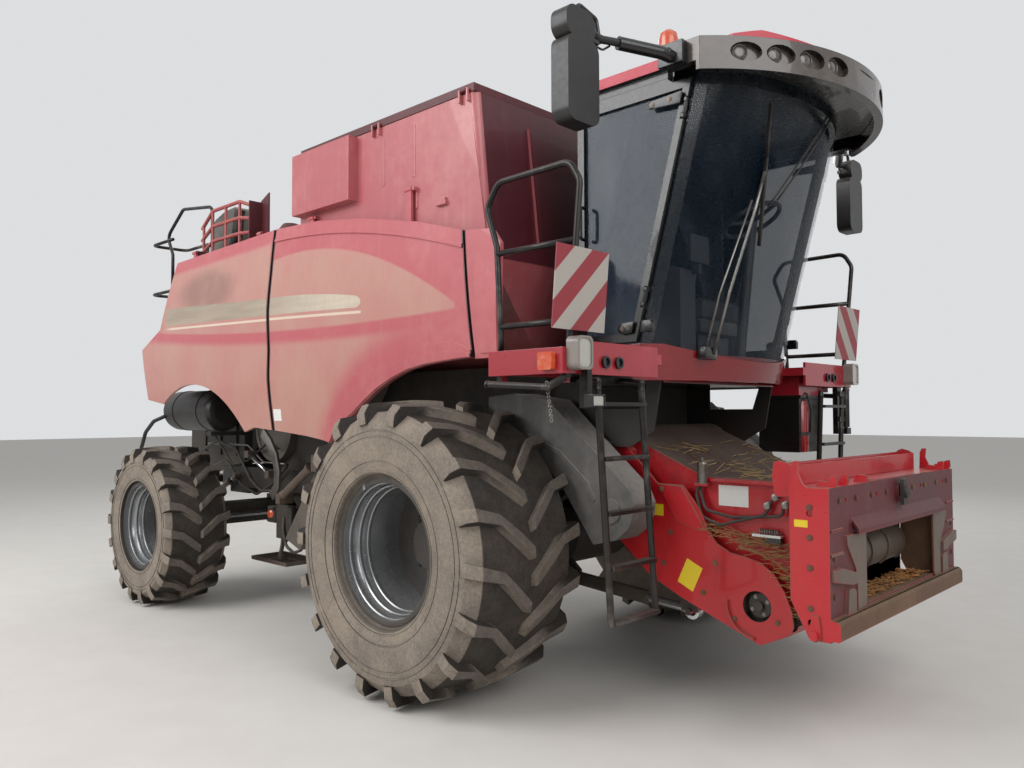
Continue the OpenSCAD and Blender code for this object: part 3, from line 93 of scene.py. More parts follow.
def cross(u: float, v: float, level: float) -> Point:
    """Places an outline in Y and Z on a level of X."""
    return AXLE_X + level, u, v


def flat(u: float, v: float, level: float) -> Point:
    """Places an outline in X and Y on a level of Z."""
    return AXLE_X + u, v, level


# Shader nodes


class Link:
    """A node's output. Python's operators join it to Math nodes."""

    def __init__(self, tree: "Tree", socket: bpy.types.NodeSocket) -> None:
        """Keeps the tree and the socket."""
        self.tree = tree
        self.socket = socket

    def _math(self, operation: str, *values: "Link | float") -> "Link":
        """Adds a Math node for an operation on values."""
        return self.tree.out(
            "ShaderNodeMath", {"operation": operation}, dict(enumerate(values))
        )

    def __add__(self, other: "Link | float") -> "Link":
        """Adds."""
        return self._math("ADD", self, other)

    def __sub__(self, other: "Link | float") -> "Link":
        """Subtracts."""
        return self._math("SUBTRACT", self, other)

    def __rsub__(self, other: float) -> "Link":
        """Subtracts from a number."""
        return self._math("SUBTRACT", other, self)

    def __mul__(self, other: "Link | float") -> "Link":
        """Multiplies."""
        return self._math("MULTIPLY", self, other)

    def __truediv__(self, other: "Link | float") -> "Link":
        """Divides."""
        return self._math("DIVIDE", self, other)

    def __pow__(self, other: float) -> "Link":
        """Raises to a power."""
        return self._math("POWER", self, other)

    __radd__ = __add__
    __rmul__ = __mul__

    def at_most(self, other: "Link | float") -> "Link":
        """Takes the smaller of two values."""
        return self._math("MINIMUM", self, other)

    def at_least(self, other: "Link | float") -> "Link":
        """Takes the larger of two values."""
        return self._math("MAXIMUM", self, other)

    def size(self) -> "Link":
        """Drops the sign."""
        return self._math("ABSOLUTE", self)

    def part(self) -> "Link":
        """Keeps the part after the point, so that a value repeats each 1."""
        return self._math("FRACT", self)

    def rise(self, start: float, end: float) -> "Link":
        """Turns a value into a mask that climbs smoothly from 0 to 1.

        Args:
            start: Where the mask is 0.
            end: Where the mask is 1; below start for a mask that falls.

        Returns:
            The mask.
        """
        flip = end < start
        low, high = (end, start) if flip else (start, end)
        return self.tree.out(
            "ShaderNodeMapRange",
            {"interpolation_type": "SMOOTHSTEP"},
            {
                "Value": self,
                "From Min": low,
                "From Max": high,
                "To Min": 1.0 if flip else 0.0,
                "To Max": 0.0 if flip else 1.0,
            },
        )


class Tree:
    """A node tree in which any node is made by one method."""

    def __init__(self, tree: bpy.types.NodeTree) -> None:
        """Starts from an emptied node tree."""
        self.tree = tree
        tree.nodes.clear()

    def node(
        self,
        kind: str,
        settings: dict[str, object] | None = None,
        sockets: dict[str | int, object] | None = None,
    ) -> bpy.types.Node:
        """Adds a node.

        Args:
            kind: The node's type.
            settings: Its options, such as a Math node's operation, set first.
            sockets: Values or links of its inputs, by name or place.

        Returns:
            The node.
        """
        made = self.tree.nodes.new(kind)
        for name, value in (settings or {}).items():
            setattr(made, name, value)
        for key, value in (sockets or {}).items():
            if isinstance(value, Link):
                self.tree.links.new(value.socket, made.inputs[key])
            else:
                made.inputs[key].default_value = value
        return made

    def out(
        self,
        kind: str,
        settings: dict[str, object] | None = None,
        sockets: dict[str | int, object] | None = None,
        output: str | int = 0,
    ) -> Link:
        """Adds a node and gives one of its outputs, by its name or place."""
        return Link(self, self.node(kind, settings, sockets).outputs[output])


def colour(code: str) -> tuple[float, float, float, float]:
    """Reads a colour code as linear red, green and blue.

    Args:
        code: Six hexadecimal digits, as a screen shows the colour.

    Returns:
        Linear red, green, blue and an alpha of 1.
    """
    parts = (int(code[i : i + 2], 16) / 255 for i in (0, 2, 4))
    red, green, blue = (
        v / 12.92 if v <= 0.04045 else ((v + 0.055) / 1.055) ** 2.4 for v in parts
    )
    return red, green, blue, 1.0


class Surface(Tree):
    """A material's node tree around one Principled BSDF."""

    def __init__(self, name: str) -> None:
        """Makes the material and reads the piece's coordinates."""
        self.material = bpy.data.materials.new(name)
        self.material.use_nodes = True
        super().__init__(self.material.node_tree)
        self.shader = self.node("ShaderNodeBsdfPrincipled")
        end = self.node("ShaderNodeOutputMaterial")
        self.tree.links.new(self.shader.outputs[0], end.inputs[0])
        place = self.node("ShaderNodeTexCoord")
        self.place = Link(self, place.outputs["Object"])
        split = self.node("ShaderNodeSeparateXYZ", None, {0: self.place})
        self.x, self.y, self.z = (Link(self, split.outputs[i]) for i in range(3))
        facing = self.node(
            "ShaderNodeSeparateXYZ", None, {0: Link(self, place.outputs["Normal"])}
        )
        self.aside, self.up = (Link(self, facing.outputs[i]) for i in (1, 2))
        self.ahead = Link(self, facing.outputs[0])

    def noise(
        self,
        scale: float,
        detail: float = 4.0,
        stretch: Point = (1.0, 1.0, 1.0),
        shift: Point = (0.0, 0.0, 0.0),
        rough: float = 0.55,
    ) -> Link:
        """Adds a noise pattern.

        Args:
            scale: Spots in a metre.
            detail: Octaves of finer noise.
            stretch: Factor on the scale along each axis.
            shift: Shift of the pattern, in metres.
            rough: Strength of the finer octaves.

        Returns:
            The pattern's value, about 0.5 on average.
        """
        where = self.place
        if stretch != (1.0, 1.0, 1.0) or shift != (0.0, 0.0, 0.0):
            where = self.out(
                "ShaderNodeMapping",
                None,
                {"Vector": self.place, "Location": shift, "Scale": stretch},
            )
        return self.out(
            "ShaderNodeTexNoise",
            None,
            {"Vector": where, "Scale": scale, "Detail": detail, "Roughness": rough},
        )

    def mix(
        self, first: Link | Sequence[float], second: Link | Sequence[float], mask: Link | float
    ) -> Link:
        """Mixes two colours.

        Args:
            first: The colour where the mask is 0.
            second: The colour where the mask is 1.
            mask: The mask.

        Returns:
            The mixed colour.
        """
        return self.out(
            "ShaderNodeMix",
            {"data_type": "RGBA"},
            {0: mask, 6: first, 7: second},
            output=2,
        )

    def bump(self, height: Link, strength: float, depth: float) -> Link:
        """Turns a height pattern into a normal.

        Args:
            height: The pattern.
            strength: Strength of the effect, from 0 to 1.
            depth: Depth in metres between heights 0 and 1.

        Returns:
            The bent normal.
        """
        return self.out(
            "ShaderNodeBump",
            None,
            {"Strength": strength, "Distance": depth, "Height": height},
        )

    def finish(self, **sockets: object) -> bpy.types.Material:
        """Sets the shader's sockets.

        Args:
            sockets: Values or links by socket name, with _ for a space.

        Returns:
            The finished material.
        """
        for name, value in sockets.items():
            socket = self.shader.inputs[name.replace("_", " ")]
            if isinstance(value, Link):
                self.tree.links.new(value.socket, socket)
            else:
                socket.default_value = value
        return self.material


# Finishes


@dataclass(frozen=True)
class Finish:
    """A painted, moulded or bare surface under dust.

    Attributes:
        name: The material's name.
        base: Colour of the clean surface.
        second: Colour of its large faded or stained patches.
        patches: Share of the second colour.
        dust: Colour of the dust.
        dusting: Dust on faces that look up.
        grime: Dust that rises from the ground.
        veil: Thin dust everywhere.
        rough: Roughness of the clean surface.
        metal: Metallic value.
        coat: Clear coat.
        grain: Spots in a metre of the fine bump.
        depth: Depth of the fine bump in metres.
        streaks: Strength of rain streaks down the surface.
    """

    name: str
    base: str
    second: str
    patches: float = 0.45
    dust: str = "a58f7a"
    dusting: float = 0.55
    grime: float = 0.5
    veil: float = 0.12
    rough: float = 0.45
    metal: float = 0.0
    coat: float = 0.0
    grain: float = 90.0
    depth: float = 0.0004
    streaks: float = 0.0

    def dust_mask(self, s: Surface) -> Link:
        """Spreads dust over faces that look up, over low parts and thinly over all.

        Args:
            s: The material's tree.

        Returns:
            The mask of dust.
        """
        cloud = s.noise(2.3, 6.0, shift=(3.0, 1.0, 7.0))
        fine = s.noise(24.0, 5.0, rough=0.7)
        lying = s.up.rise(0.25, 0.95) * (cloud * 0.9 + fine * 0.6).rise(0.35, 0.95)
        low = s.z.rise(2.2, 0.3) * (cloud + fine * 0.5).rise(0.35, 1.0)
        mask = lying * self.dusting + low * self.grime
        mask = mask + (cloud * 0.7 + fine * 0.5) * self.veil
        if self.streaks:
            runs = s.noise(9.0, 4.0, stretch=(1.6, 1.6, 0.1), shift=(5.0, 2.0, 0.0))
            mask = mask + runs.rise(0.5, 0.78) * self.streaks
        return mask.at_most(1.0)

    def skin(self, s: Surface) -> Link:
        """Gives the surface's own colour, before the dust.

        Args:
            s: The material's tree.

        Returns:
            The colour.
        """
        large = s.noise(1.1, 4.0, shift=(0.0, 4.0, 2.0))
        small = s.noise(11.0, 6.0, shift=(1.0, 9.0, 3.0), rough=0.65)
        patches = (large * 0.75 + small * 0.35).rise(0.75 - self.patches * 0.5, 0.72)
        return s.mix(colour(self.base), colour(self.second), patches)

    def build(self) -> bpy.types.Material:
        """Makes the material.

        Returns:
            The material.
        """
        s = Surface(self.name)
        mask = self.dust_mask(s)
        fine = s.noise(self.grain, 3.0, rough=0.6)
        blotch = s.noise(36.0, 4.0, shift=(2.0, 2.0, 8.0))
        tint = s.mix(self.skin(s), colour(self.dust), mask)
        rough = (blotch * 0.25 + self.rough - 0.12 + mask * 0.35).at_most(1.0)
        return s.finish(
            Base_Color=tint,
            Roughness=rough.at_least(0.08),
            Metallic=(1.0 - mask) * self.metal if self.metal else 0.0,
            Coat_Weight=self.coat,
            Normal=s.bump(fine + mask * 0.4, 0.5, self.depth),
        )


@dataclass(frozen=True)
class PanelPaint(Finish):
    """Faded side-panel paint with the dusty leaf, the pale band and its pinstripe.

    The lines are curves of height over the distance from the front axle.

    Attributes:
        leaf: Colour of the dusty leaf and of the panel below the clean stripe.
        band: Colour of the band's rear part.
        band_pale: Colour of its front part.
        pinstripe: Colour of the thin line under the band.
        soot: Colour of the smudge above the band at the rear.
        seam: Colour along the seams between the panels, the dark crimson of painted shade in
            their gaps.
    """

    leaf: str = "b78e7f"
    band: str = "8d8672"
    band_pale: str = "cdc6b2"
    pinstripe: str = "dccbb8"
    soot: str = "7d5c50"
    seam: str = "2c0a12"

    def skin(self, s: Surface) -> Link:
        """Paints the leaf, the clean stripe, the band, the pinstripe and painted shade along
        the seams.

        Args:
            s: The material's tree.

        Returns:
            The colour.
        """
        x = s.x - AXLE_X
        square = x * x

        def below(a: float, b: float, c: float, soft: float) -> Link:
            """Masks what lies below the height a x² + b x + c."""
            return (s.z - (square * a + x * b + c)).rise(soft, -soft)

        paint = super().skin(s)
        wash = s.noise(2.6, 5.0, stretch=(1.0, 1.0, 0.7)).rise(0.2, 0.75)
        grain = s.noise(26.0, 4.0, stretch=(1.0, 1.0, 0.25)).rise(0.3, 0.8)
        dusty = s.mix(paint, colour(self.leaf), wash * 0.3 + 0.6 - grain * 0.12)
        nose = x.rise(0.262, 0.225)
        # The leaf: under its upper line and above the clean stripe
        top = below(-0.1645, -0.5369, 2.6135, 0.012) * x.rise(-2.3, -2.0)
        top = top.at_least(below(0.0, 0.026, 3.235, 0.03) * x.rise(-1.95, -2.1))
        clean_top = below(0.0134, 0.019, 2.43, 0.012)
        clean_low = below(0.0134, 0.019, 2.334, 0.035)
        leaf = top * (1.0 - clean_top) * nose * x.rise(-4.25, -3.95)
        tint = s.mix(paint, dusty, leaf)
        # The dusty part below the clean stripe, which fades towards the wheel arch
        flare = ((x + 0.1) * (x + 0.1) + (s.z - 0.98) * (s.z - 0.98)) ** 0.5
        low = clean_low * flare.rise(1.26, 1.5) * x.rise(0.25, -0.35)
        tint = s.mix(tint, dusty, low)
        smudge = s.noise(2.4, 5.0, shift=(4.0, 0.0, 1.0)).rise(0.2, 0.6)
        spot = ((x + 3.15) * (x + 3.15) + (s.z - 2.9) * (s.z - 2.9) * 8.0) ** 0.5
        tint = s.mix(tint, colour(self.soot), smudge * spot.rise(0.72, 0.3) * 0.7)
        # Band and pinstripe
        front = x.rise(-2.03, -2.02)
        band_top = square * -0.0566 + x * -0.2412 + 2.4653
        band_low = square * -0.0028 + x * -0.0459 + 2.5022
        rear_top = x * -0.045 + 2.63
        rear_low = x * -0.03 + 2.52
        upper = band_top * front + rear_top * (1.0 - front)
        lower = band_low * front + rear_low * (1.0 - front)
        middle, half = (upper + lower) * 0.5, (upper - lower) * 0.5
        tip = (x + 0.83).at_least(0.0) / 0.075
        half = half * (1.0 - tip * tip).at_least(0.0) ** 0.5
        inside = ((s.z - middle).size() - half).rise(0.002, -0.002) * x.rise(-4.02, -3.9)
        inside = inside * x.rise(-0.752, -0.756)
        shine = s.noise(6.0, 3.0, stretch=(0.25, 1.0, 2.5)).rise(0.3, 0.7)
        metal = s.mix(colour(self.band), colour(self.band_pale),
                      x.rise(-2.6, -0.8) * 0.75 + shine * 0.25)
        tint = s.mix(tint, metal, inside * (0.95 - grain * 0.25))
        line = s.z - (lower - 0.034)
        thin = line.rise(-0.012, -0.009) * line.rise(0.011, 0.008)
        run = x.rise(-0.74, -0.76) * x.rise(-4.0, -3.8)
        tint = s.mix(tint, colour(self.pinstripe), thin * run * 0.85)
        # Painted shade along the seams on both sides of the front panel
        wave = (s.z.rise(1.64, 2.05) * -0.016 + s.z.rise(2.05, 2.3) * 0.024
                - s.z.rise(2.3, 2.62) * 0.02 + s.z.rise(2.62, 2.95) * 0.018)
        rear = (x + 2.02 - wave).size().rise(0.03, 0.025)
        fore = (x + s.z * 0.1235 - 0.671).size().rise(0.019, 0.015) * s.z.rise(2.1, 2.14)
        return s.mix(tint, colour(self.seam), rear.at_least(fore) * 0.92)


@dataclass(frozen=True)
class StripedBoard(Finish):
    """A sheet with slanting red and pale stripes.

    Attributes:
        corner: The pale corner in Y and Z, where the stripes start.
        side: 1 or -1, the way the stripes lean.
        stripe: Width of a stripe, measured down the board's edge.
    """

    corner: Pair = (0.0, 0.0)
    side: float = 1.0
    stripe: float = 0.141

    def skin(self, s: Surface) -> Link:
        """Paints the stripes from the pale corner.

        Args:
            s: The material's tree.

        Returns:
            The colour.
        """
        y, z = self.corner
        along = (s.y.size() - y) * self.side + (z - s.z)
        turn = (along / (2.0 * self.stripe)).part()
        red = turn.rise(0.496, 0.504) * turn.rise(1.0, 0.992)
        return s.mix(colour(self.base), colour(self.second), red)


@dataclass(frozen=True)
class TyreRubber(Finish):
    """Rubber with rubbed lug faces, dusty sidewalls and dark grooves, whose darkness is partly
    painted shade.

    Attributes:
        centre: The wheel's middle.
        radius: The tyre's radius over its lugs.
        lug: Height of a lug.
        face: Colour of the rubbed lug faces.
        face_dark: Colour of their less rubbed parts.
        wall: Colour of the sidewall.
        wall_dark: Colour of its darker parts.
        wall_dust: Colour of the dust on the sidewall.
    """

    centre: Point = (0.0, 0.0, 0.0)
    radius: float = 1.0
    lug: float = 0.055
    face: str = "6e655c"
    face_dark: str = "4f4843"
    wall: str = "7d736a"
    wall_dark: str = "615952"
    wall_dust: str = "a39584"

    def _polar(self, s: Surface) -> tuple[Link, Link]:
        """Measures a point and its face from the axle.

        Args:
            s: The material's tree.

        Returns:
            The distance from the axle, and how far the face looks away from it.
        """
        dx, dz = s.x - self.centre[0], s.z - self.centre[2]
        out = (dx * dx + dz * dz) ** 0.5
        return out, (dx * s.ahead + dz * s.up) / out

    def dust_mask(self, s: Surface) -> Link:
        """Leaves dust on the sidewalls and a little in the grooves.

        Args:
            s: The material's tree.

        Returns:
            The mask of dust.
        """
        out, facing = self._polar(s)
        cloud = s.noise(4.0, 6.0, rough=0.65)
        fine = s.noise(55.0, 4.0, rough=0.7)
        spots = (cloud * 0.7 + fine * 0.5).rise(0.4, 0.85)
        wall = s.aside.size().rise(0.35, 0.75)
        low = out.rise(self.radius - self.lug * 0.4, self.radius - self.lug * 1.1)
        return (wall * spots * 0.75 + low * facing.rise(0.4, 0.9) * spots * 0.12).at_most(0.9)

    def skin(self, s: Surface) -> Link:
        """Colours the grooves, the lug faces and the sidewalls.

        Args:
            s: The material's tree.

        Returns:
            The colour.
        """
        out, facing = self._polar(s)
        scuff = s.noise(18.0, 6.0, rough=0.7).rise(0.3, 0.72)
        rub = s.noise(75.0, 3.0, rough=0.6).rise(0.35, 0.7)
        face = out.rise(self.radius - 0.034, self.radius - 0.018) * facing.rise(0.5, 0.8)
        wall = s.aside.size().rise(0.3, 0.7) * (1.0 - face)
        # The grooves' near-black base is partly painted shade.
        tint = s.mix(colour(self.base), colour(self.second), scuff * 0.7)
        worn = s.mix(colour(self.face_dark), colour(self.face), scuff * 0.6 + rub * 0.4)
        tint = s.mix(tint, worn, face)
        side = s.mix(colour(self.wall_dark), colour(self.wall), scuff * 0.5 + rub * 0.5)
        return s.mix(tint, side, wall)

    def build(self) -> bpy.types.Material:
        """Makes the material.

        Returns:
            The material.
        """
        s = Surface(self.name)
        out, _ = self._polar(s)
        mask = self.dust_mask(s)
        rings = ((out * 75.0).part() - 0.5).size() * s.aside.size().rise(0.6, 0.9)
        fine = s.noise(self.grain, 3.0, rough=0.6)
        cracks = s.noise(38.0, 6.0, rough=0.75)
        return s.finish(
            Base_Color=s.mix(self.skin(s), colour(self.wall_dust), mask),
            Roughness=(cracks * 0.3 + mask * 0.2 + 0.6).at_most(1.0),
            Normal=s.bump(fine * 0.4 + cracks + rings * 0.35, 0.55, 0.0016),
        )


@dataclass(frozen=True)
class Glass:
    """See-through glass with a dusty film and a blue tint that is partly painted sky
    reflection.

    Attributes:
        name: The material's name.
        tint: Colour of the glass, a blue that is partly painted sky reflection.
        clear: Alpha of clean glass.
        film: Alpha that the dusty film adds.
        rough: Roughness of clean glass.
        haze: Colour of the film.
    """

    name: str
    tint: str
    clear: float = 0.3
    film: float = 0.35
    rough: float = 0.05
    haze: str = "9fa3a6"

    def build(self) -> bpy.types.Material:
        """Makes the material.

        Returns:
            The material.
        """
        s = Surface(self.name)
        smear = s.noise(1.6, 6.0, stretch=(1.0, 1.0, 0.6), rough=0.6).rise(0.35, 0.9)
        wiped = s.noise(9.0, 4.0, stretch=(1.0, 1.0, 0.25), rough=0.6).rise(0.45, 0.8)
        low = s.z.rise(2.7, 2.05) * 0.5
        film = (smear * 0.5 + wiped * 0.2 + low * smear).at_most(1.0)
        return s.finish(
            Base_Color=s.mix(colour(self.tint), colour(self.haze), film * 0.4),
            Roughness=film * 0.12 + self.rough,
            Alpha=(film * self.film + self.clear).at_most(1.0),
            Specular_IOR_Level=0.35,
        )


@dataclass(frozen=True)
class Lens:
    """A lamp's lens or bowl, ribbed and faintly dusty.

    Attributes:
        name: The material's name.
        tint: Colour of the lens.
        clear: Alpha of the lens.
        rough: Roughness of the clean lens.
        glow: Strength of its light.
        dust: Colour of the dust.
        ribs: Ribs in a metre of height.
    """

    name: str
    tint: str
    clear: float = 0.85
    rough: float = 0.12
    glow: float = 0.0
    dust: str = "b9aa96"
    ribs: float = 160.0

    def build(self) -> bpy.types.Material:
        """Makes the material.

        Returns:
            The material.
        """
        s = Surface(self.name)
        haze = s.noise(30.0, 4.0).rise(0.3, 0.8)
        ribs = ((s.z * self.ribs).part() - 0.5).size()
        return s.finish(
            Base_Color=s.mix(colour(self.tint), colour(self.dust), haze * 0.25),
            Roughness=haze * 0.25 + self.rough,
            Alpha=self.clear,
            Coat_Weight=0.8,
            Emission_Color=colour(self.tint),
            Emission_Strength=self.glow,
            Normal=s.bump(ribs, 0.4, 0.001),
        )


@dataclass(frozen=True)
class Cloth:
    """Woven seat cloth.

    Attributes:
        name: The material's name.
        base: Colour of the ground.
        thread: Colour of the worn threads.
        threads: Threads in a metre.
    """

    name: str
    base: str
    thread: str
    threads: float = 320.0

    def build(self) -> bpy.types.Material:
        """Makes the material.

        Returns:
            The material.
        """
        s = Surface(self.name)
        warp = ((s.y * self.threads).part() - 0.5).size()
        weft = (((s.x + s.z) * self.threads).part() - 0.5).size()
        weave = warp.at_least(weft)
        worn = s.noise(6.0, 5.0).rise(0.35, 0.75)
        tint = s.mix(colour(self.base), colour(self.thread), weave * 0.5 + worn * 0.3)
        return s.finish(
            Base_Color=tint, Roughness=0.95, Normal=s.bump(weave, 0.6, 0.0008)
        )


class Look(Enum):
    """Every finish on the machine."""

    PANEL = PanelPaint("panel_paint", "b4515a", "bd6468", 0.5, "bf9580", 0.25, 0.2,
                       0.08, 0.38, coat=0.25, streaks=0.1)
    TANK = Finish("tank_paint", "ac5159", "ba6a6b", 0.55, "c4a192", 0.35, 0.15, 0.1,
                  0.34, coat=0.3, streaks=0.18)
    # Darker copy of the tank paint for the front wall: painted shade.
    TANK_FRONT = Finish("tank_front_painted_shade", "4a0f1b", "581a25", 0.4, "7a564f", 0.2,
                        0.2, 0.03, 0.42, coat=0.15, streaks=0.08)
    FADED = Finish("faded_paint", "a04046", "b06059", 0.5, "b5947e", 0.45, 0.35, 0.1,
                   0.48, streaks=0.2)
    RED = Finish("red_paint", "9a1626", "a82836", 0.4, "a08070", 0.25, 0.2, 0.03, 0.3,
                 coat=0.4)
    ROOF = Finish("roof_paint", "b5233a", "c03a4e", 0.5, "b88a7c", 0.12, 0.0, 0.04, 0.45,
                  coat=0.1)
    # The skirt's red, darkened as painted shade.
    SKIRT = Finish("skirt_painted_shade", "7c0b18", "8a1622", 0.35, "9d8071", 0.1, 0.08, 0.03,
                   0.2, coat=0.5)
    FEEDER = Finish("feeder_paint", "b40a1c", "960d1a", 0.4, "8d6f5a", 0.4, 0.1, 0.01,
                    0.3, coat=0.3, streaks=0.05)
    # Dust on a near-black red for the feeder's top: dust with painted shade.
    FEEDER_TOP = Finish("dusty_feeder_top_painted_shade", "3a1417", "44302a", 0.6, "5d5146", 0.6,
                        0.2, 0.1, 0.7, grain=60.0, depth=0.001)
    FEEDER_EDGE = Finish("worn_feeder_edge", "8b3a36", "75504a", 0.55, "93806e", 0.3,
                         0.2, 0.08, 0.5, 0.2)
    # The adapter front's dull red, darkened as painted shade.
    ADAPTER = Finish("adapter_front_painted_shade", "55151f", "4a2528", 0.6, "6d564f", 0.25, 0.2,
                     0.06, 0.5, streaks=0.2)
    GUIDE = Finish("worn_guide", "6a5d54", "554840", 0.55, "85756a", 0.35, 0.2, 0.1,
                   0.42, 0.5, grain=120.0, streaks=0.2)
    # Dark red; on the deck rails' end plates it is painted shade over red paint.
    RED_DARK = Finish("dark_red_paint_and_painted_shade", "4d121d", "5e2028", 0.4, "8b7262", 0.4, 0.3,
                      0.06, 0.45)
    # Dark crimson in the gaps between panels: painted shade.
    SEAM = Finish("seam_painted_shade", "2c0a12", "34121a", 0.3, "5c3a34", 0.2, 0.2, 0.03, 0.6)
    CHASSIS = Finish("chassis_paint", "171718", "262422", 0.5, "6c6054", 0.45, 0.35,
                     0.08, 0.5, grain=60.0)
    CAB = Finish("cab_trim", "0b0b0c", "141416", 0.4, "5b554e", 0.25, 0.06, 0.02, 0.28,
                 coat=0.3)
    PLASTIC = Finish("black_plastic", "151516", "242426", 0.45, "7a7066", 0.4, 0.2, 0.06,
                     0.4, grain=400.0, depth=0.0002)
    SHEET = Finish("grey_sheet", "5f5a55", "76706a", 0.55, "85796b", 0.45, 0.4, 0.15,
                   0.45, 0.4, grain=50.0, streaks=0.25)
    SHIELD = Finish("dusty_shield", "343334", "5f5c59", 0.6, "8b8782", 1.0, 0.4, 0.2,
                    0.55, 0.1, streaks=0.2)
    DARK_SHEET = Finish("dark_sheet", "252322", "393531", 0.5, "6f6457", 0.5, 0.4, 0.12,
                        0.6, 0.2)
    STEEL = Finish("worn_steel", "8a8884", "655c54", 0.5, "83766a", 0.35, 0.25, 0.08,
                   0.28, 0.85, grain=180.0)
    CHROME = Finish("rod_chrome", "c9cacc", "b5b4b2", 0.3, "9a8d7e", 0.15, 0.08, 0.03,
                    0.1, 1.0)
    RUST = Finish("rusty_steel", "5c3f30", "7a5a40", 0.6, "8a7660", 0.3, 0.2, 0.1, 0.55,
                  0.4, grain=120.0, depth=0.0006)
    RIM = Finish("rim_paint", "a0a3a6", "8f9294", 0.5, "857a6f", 0.2, 0.1, 0.04, 0.2,
                 0.75, grain=80.0)
    # Dark grey disc deep in the rim: painted shade.
    DISC = Finish("rim_disc_painted_shade", "3a3836", "4a4643", 0.5, "6b6158", 0.3, 0.15, 0.1, 0.5,
                  0.3, streaks=0.1)
    RAIL = Finish("worn_rail", "1e1d1d", "6a655f", 0.4, "7a7067", 0.3, 0.12, 0.06, 0.3,
                  0.5, grain=140.0)
    IRON = Finish("engine_iron", "3f3e3e", "322f2d", 0.5, "7b7062", 0.6, 0.4, 0.2, 0.6,
                  0.5)
    LABEL = Finish("blank_label", "e2e2de", "d2d2cc", 0.3, "b3a592", 0.2, 0.1, 0.04, 0.4)
    YELLOW = Finish("blank_yellow_label", "dfc21a", "cbae22", 0.3, "a8946e", 0.2, 0.1,
                    0.04, 0.4)
    BAND = Finish("lamp_band", "3a322e", "564b44", 0.5, "8c7f72", 0.2, 0.0, 0.1, 0.25,
                  coat=0.5)
    POD = Finish("lamp_pod", "7f7871", "968e86", 0.5, "9c9083", 0.3, 0.2, 0.1, 0.35,
                 coat=0.3)
    STRAW = Finish("straw", "ab9058", "7d5f36", 0.55, "9a8a6c", 0.2, 0.2, 0.1, 0.8,
                   grain=300.0)
    HUSK = Finish("dry_husks", "96622a", "6a4422", 0.55, "8f7a5c", 0.2, 0.2, 0.1, 0.8,
                  grain=200.0)
    CONSOLE = Finish("console_plastic", "141518", "222327", 0.4, "6e6960", 0.2, 0.0,
                     0.04, 0.5, grain=500.0, depth=0.0002)
    HOSE = Finish("hose_rubber", "101011", "1e1d1c", 0.4, "7a6e62", 0.3, 0.25, 0.08,
                  0.5, grain=300.0, depth=0.0002)
    EXTINGUISHER = Finish("extinguisher_red", "8f0f17", "a52229", 0.3, "8f7a6a", 0.2,
                          0.1, 0.03, 0.2, coat=0.6)
    MIRROR = Finish("mirror_glass", "aeb6bd", "9aa2a8", 0.3, "8f8b84", 0.05, 0.0, 0.04,
                    0.04, 1.0)
    # Both glasses are dark blue, partly as painted sky reflection.
    GLASS = Glass("side_glass", "16283a", 0.6, 0.12)
    SCREEN = Glass("screen_glass", "15293b", 0.15, 0.07)
    AMBER = Lens("amber_lens", "c8450a", 0.94, 0.12, 0.04)
    RED_LENS = Lens("red_lens", "8c0f14", 0.95, 0.12)
    CLEAR = Lens("clear_lens", "b9b6b0", 0.85, 0.1)
    LAMP = Lens("lamp_glass", "2c2b2c", 0.95, 0.08)
    SEAT = Cloth("seat_cloth", "1d1e21", "35373d")


_MADE: dict[str, bpy.types.Material] = {}


def material(look: "Look | Finish") -> bpy.types.Material:
    """Gives a finish's material, made once.

    Args:
        look: An entry of Look, or a finish of its own.

    Returns:
        The material.
    """
    finish = look.value if isinstance(look, Look) else look
    if finish.name not in _MADE:
        _MADE[finish.name] = finish.build()
    return _MADE[finish.name]


# Meshes


def rounded(points: Sequence[Point], radius: float, steps: int = 6) -> list[Vector]:
    """Rounds the corners of a line of points.

    Args:
        points: Corners of the line.
        radius: Radius of the bends.
        steps: Pieces of a bend.

    Returns:
        The points of the smooth line.
    """
    corners = [Vector(p) for p in points]
    line = [corners[0]]
    for before, corner, after in zip(corners, corners[1:], corners[2:]):
        a, b = (before - corner).normalized(), (after - corner).normalized()
        half = a.angle(b) / 2
        reach = min(
            radius / math.tan(half) if half > 0.01 else 0.0,
            0.48 * (before - corner).length,
            0.48 * (after - corner).length,
        )
        start, end = corner + a * reach, corner + b * reach
        for i in range(steps + 1):
            t = i / steps
            line.append(
                start * (1 - t) ** 2 + corner * (2 * t * (1 - t)) + end * t**2
            )
    line.append(corners[-1])
    return line


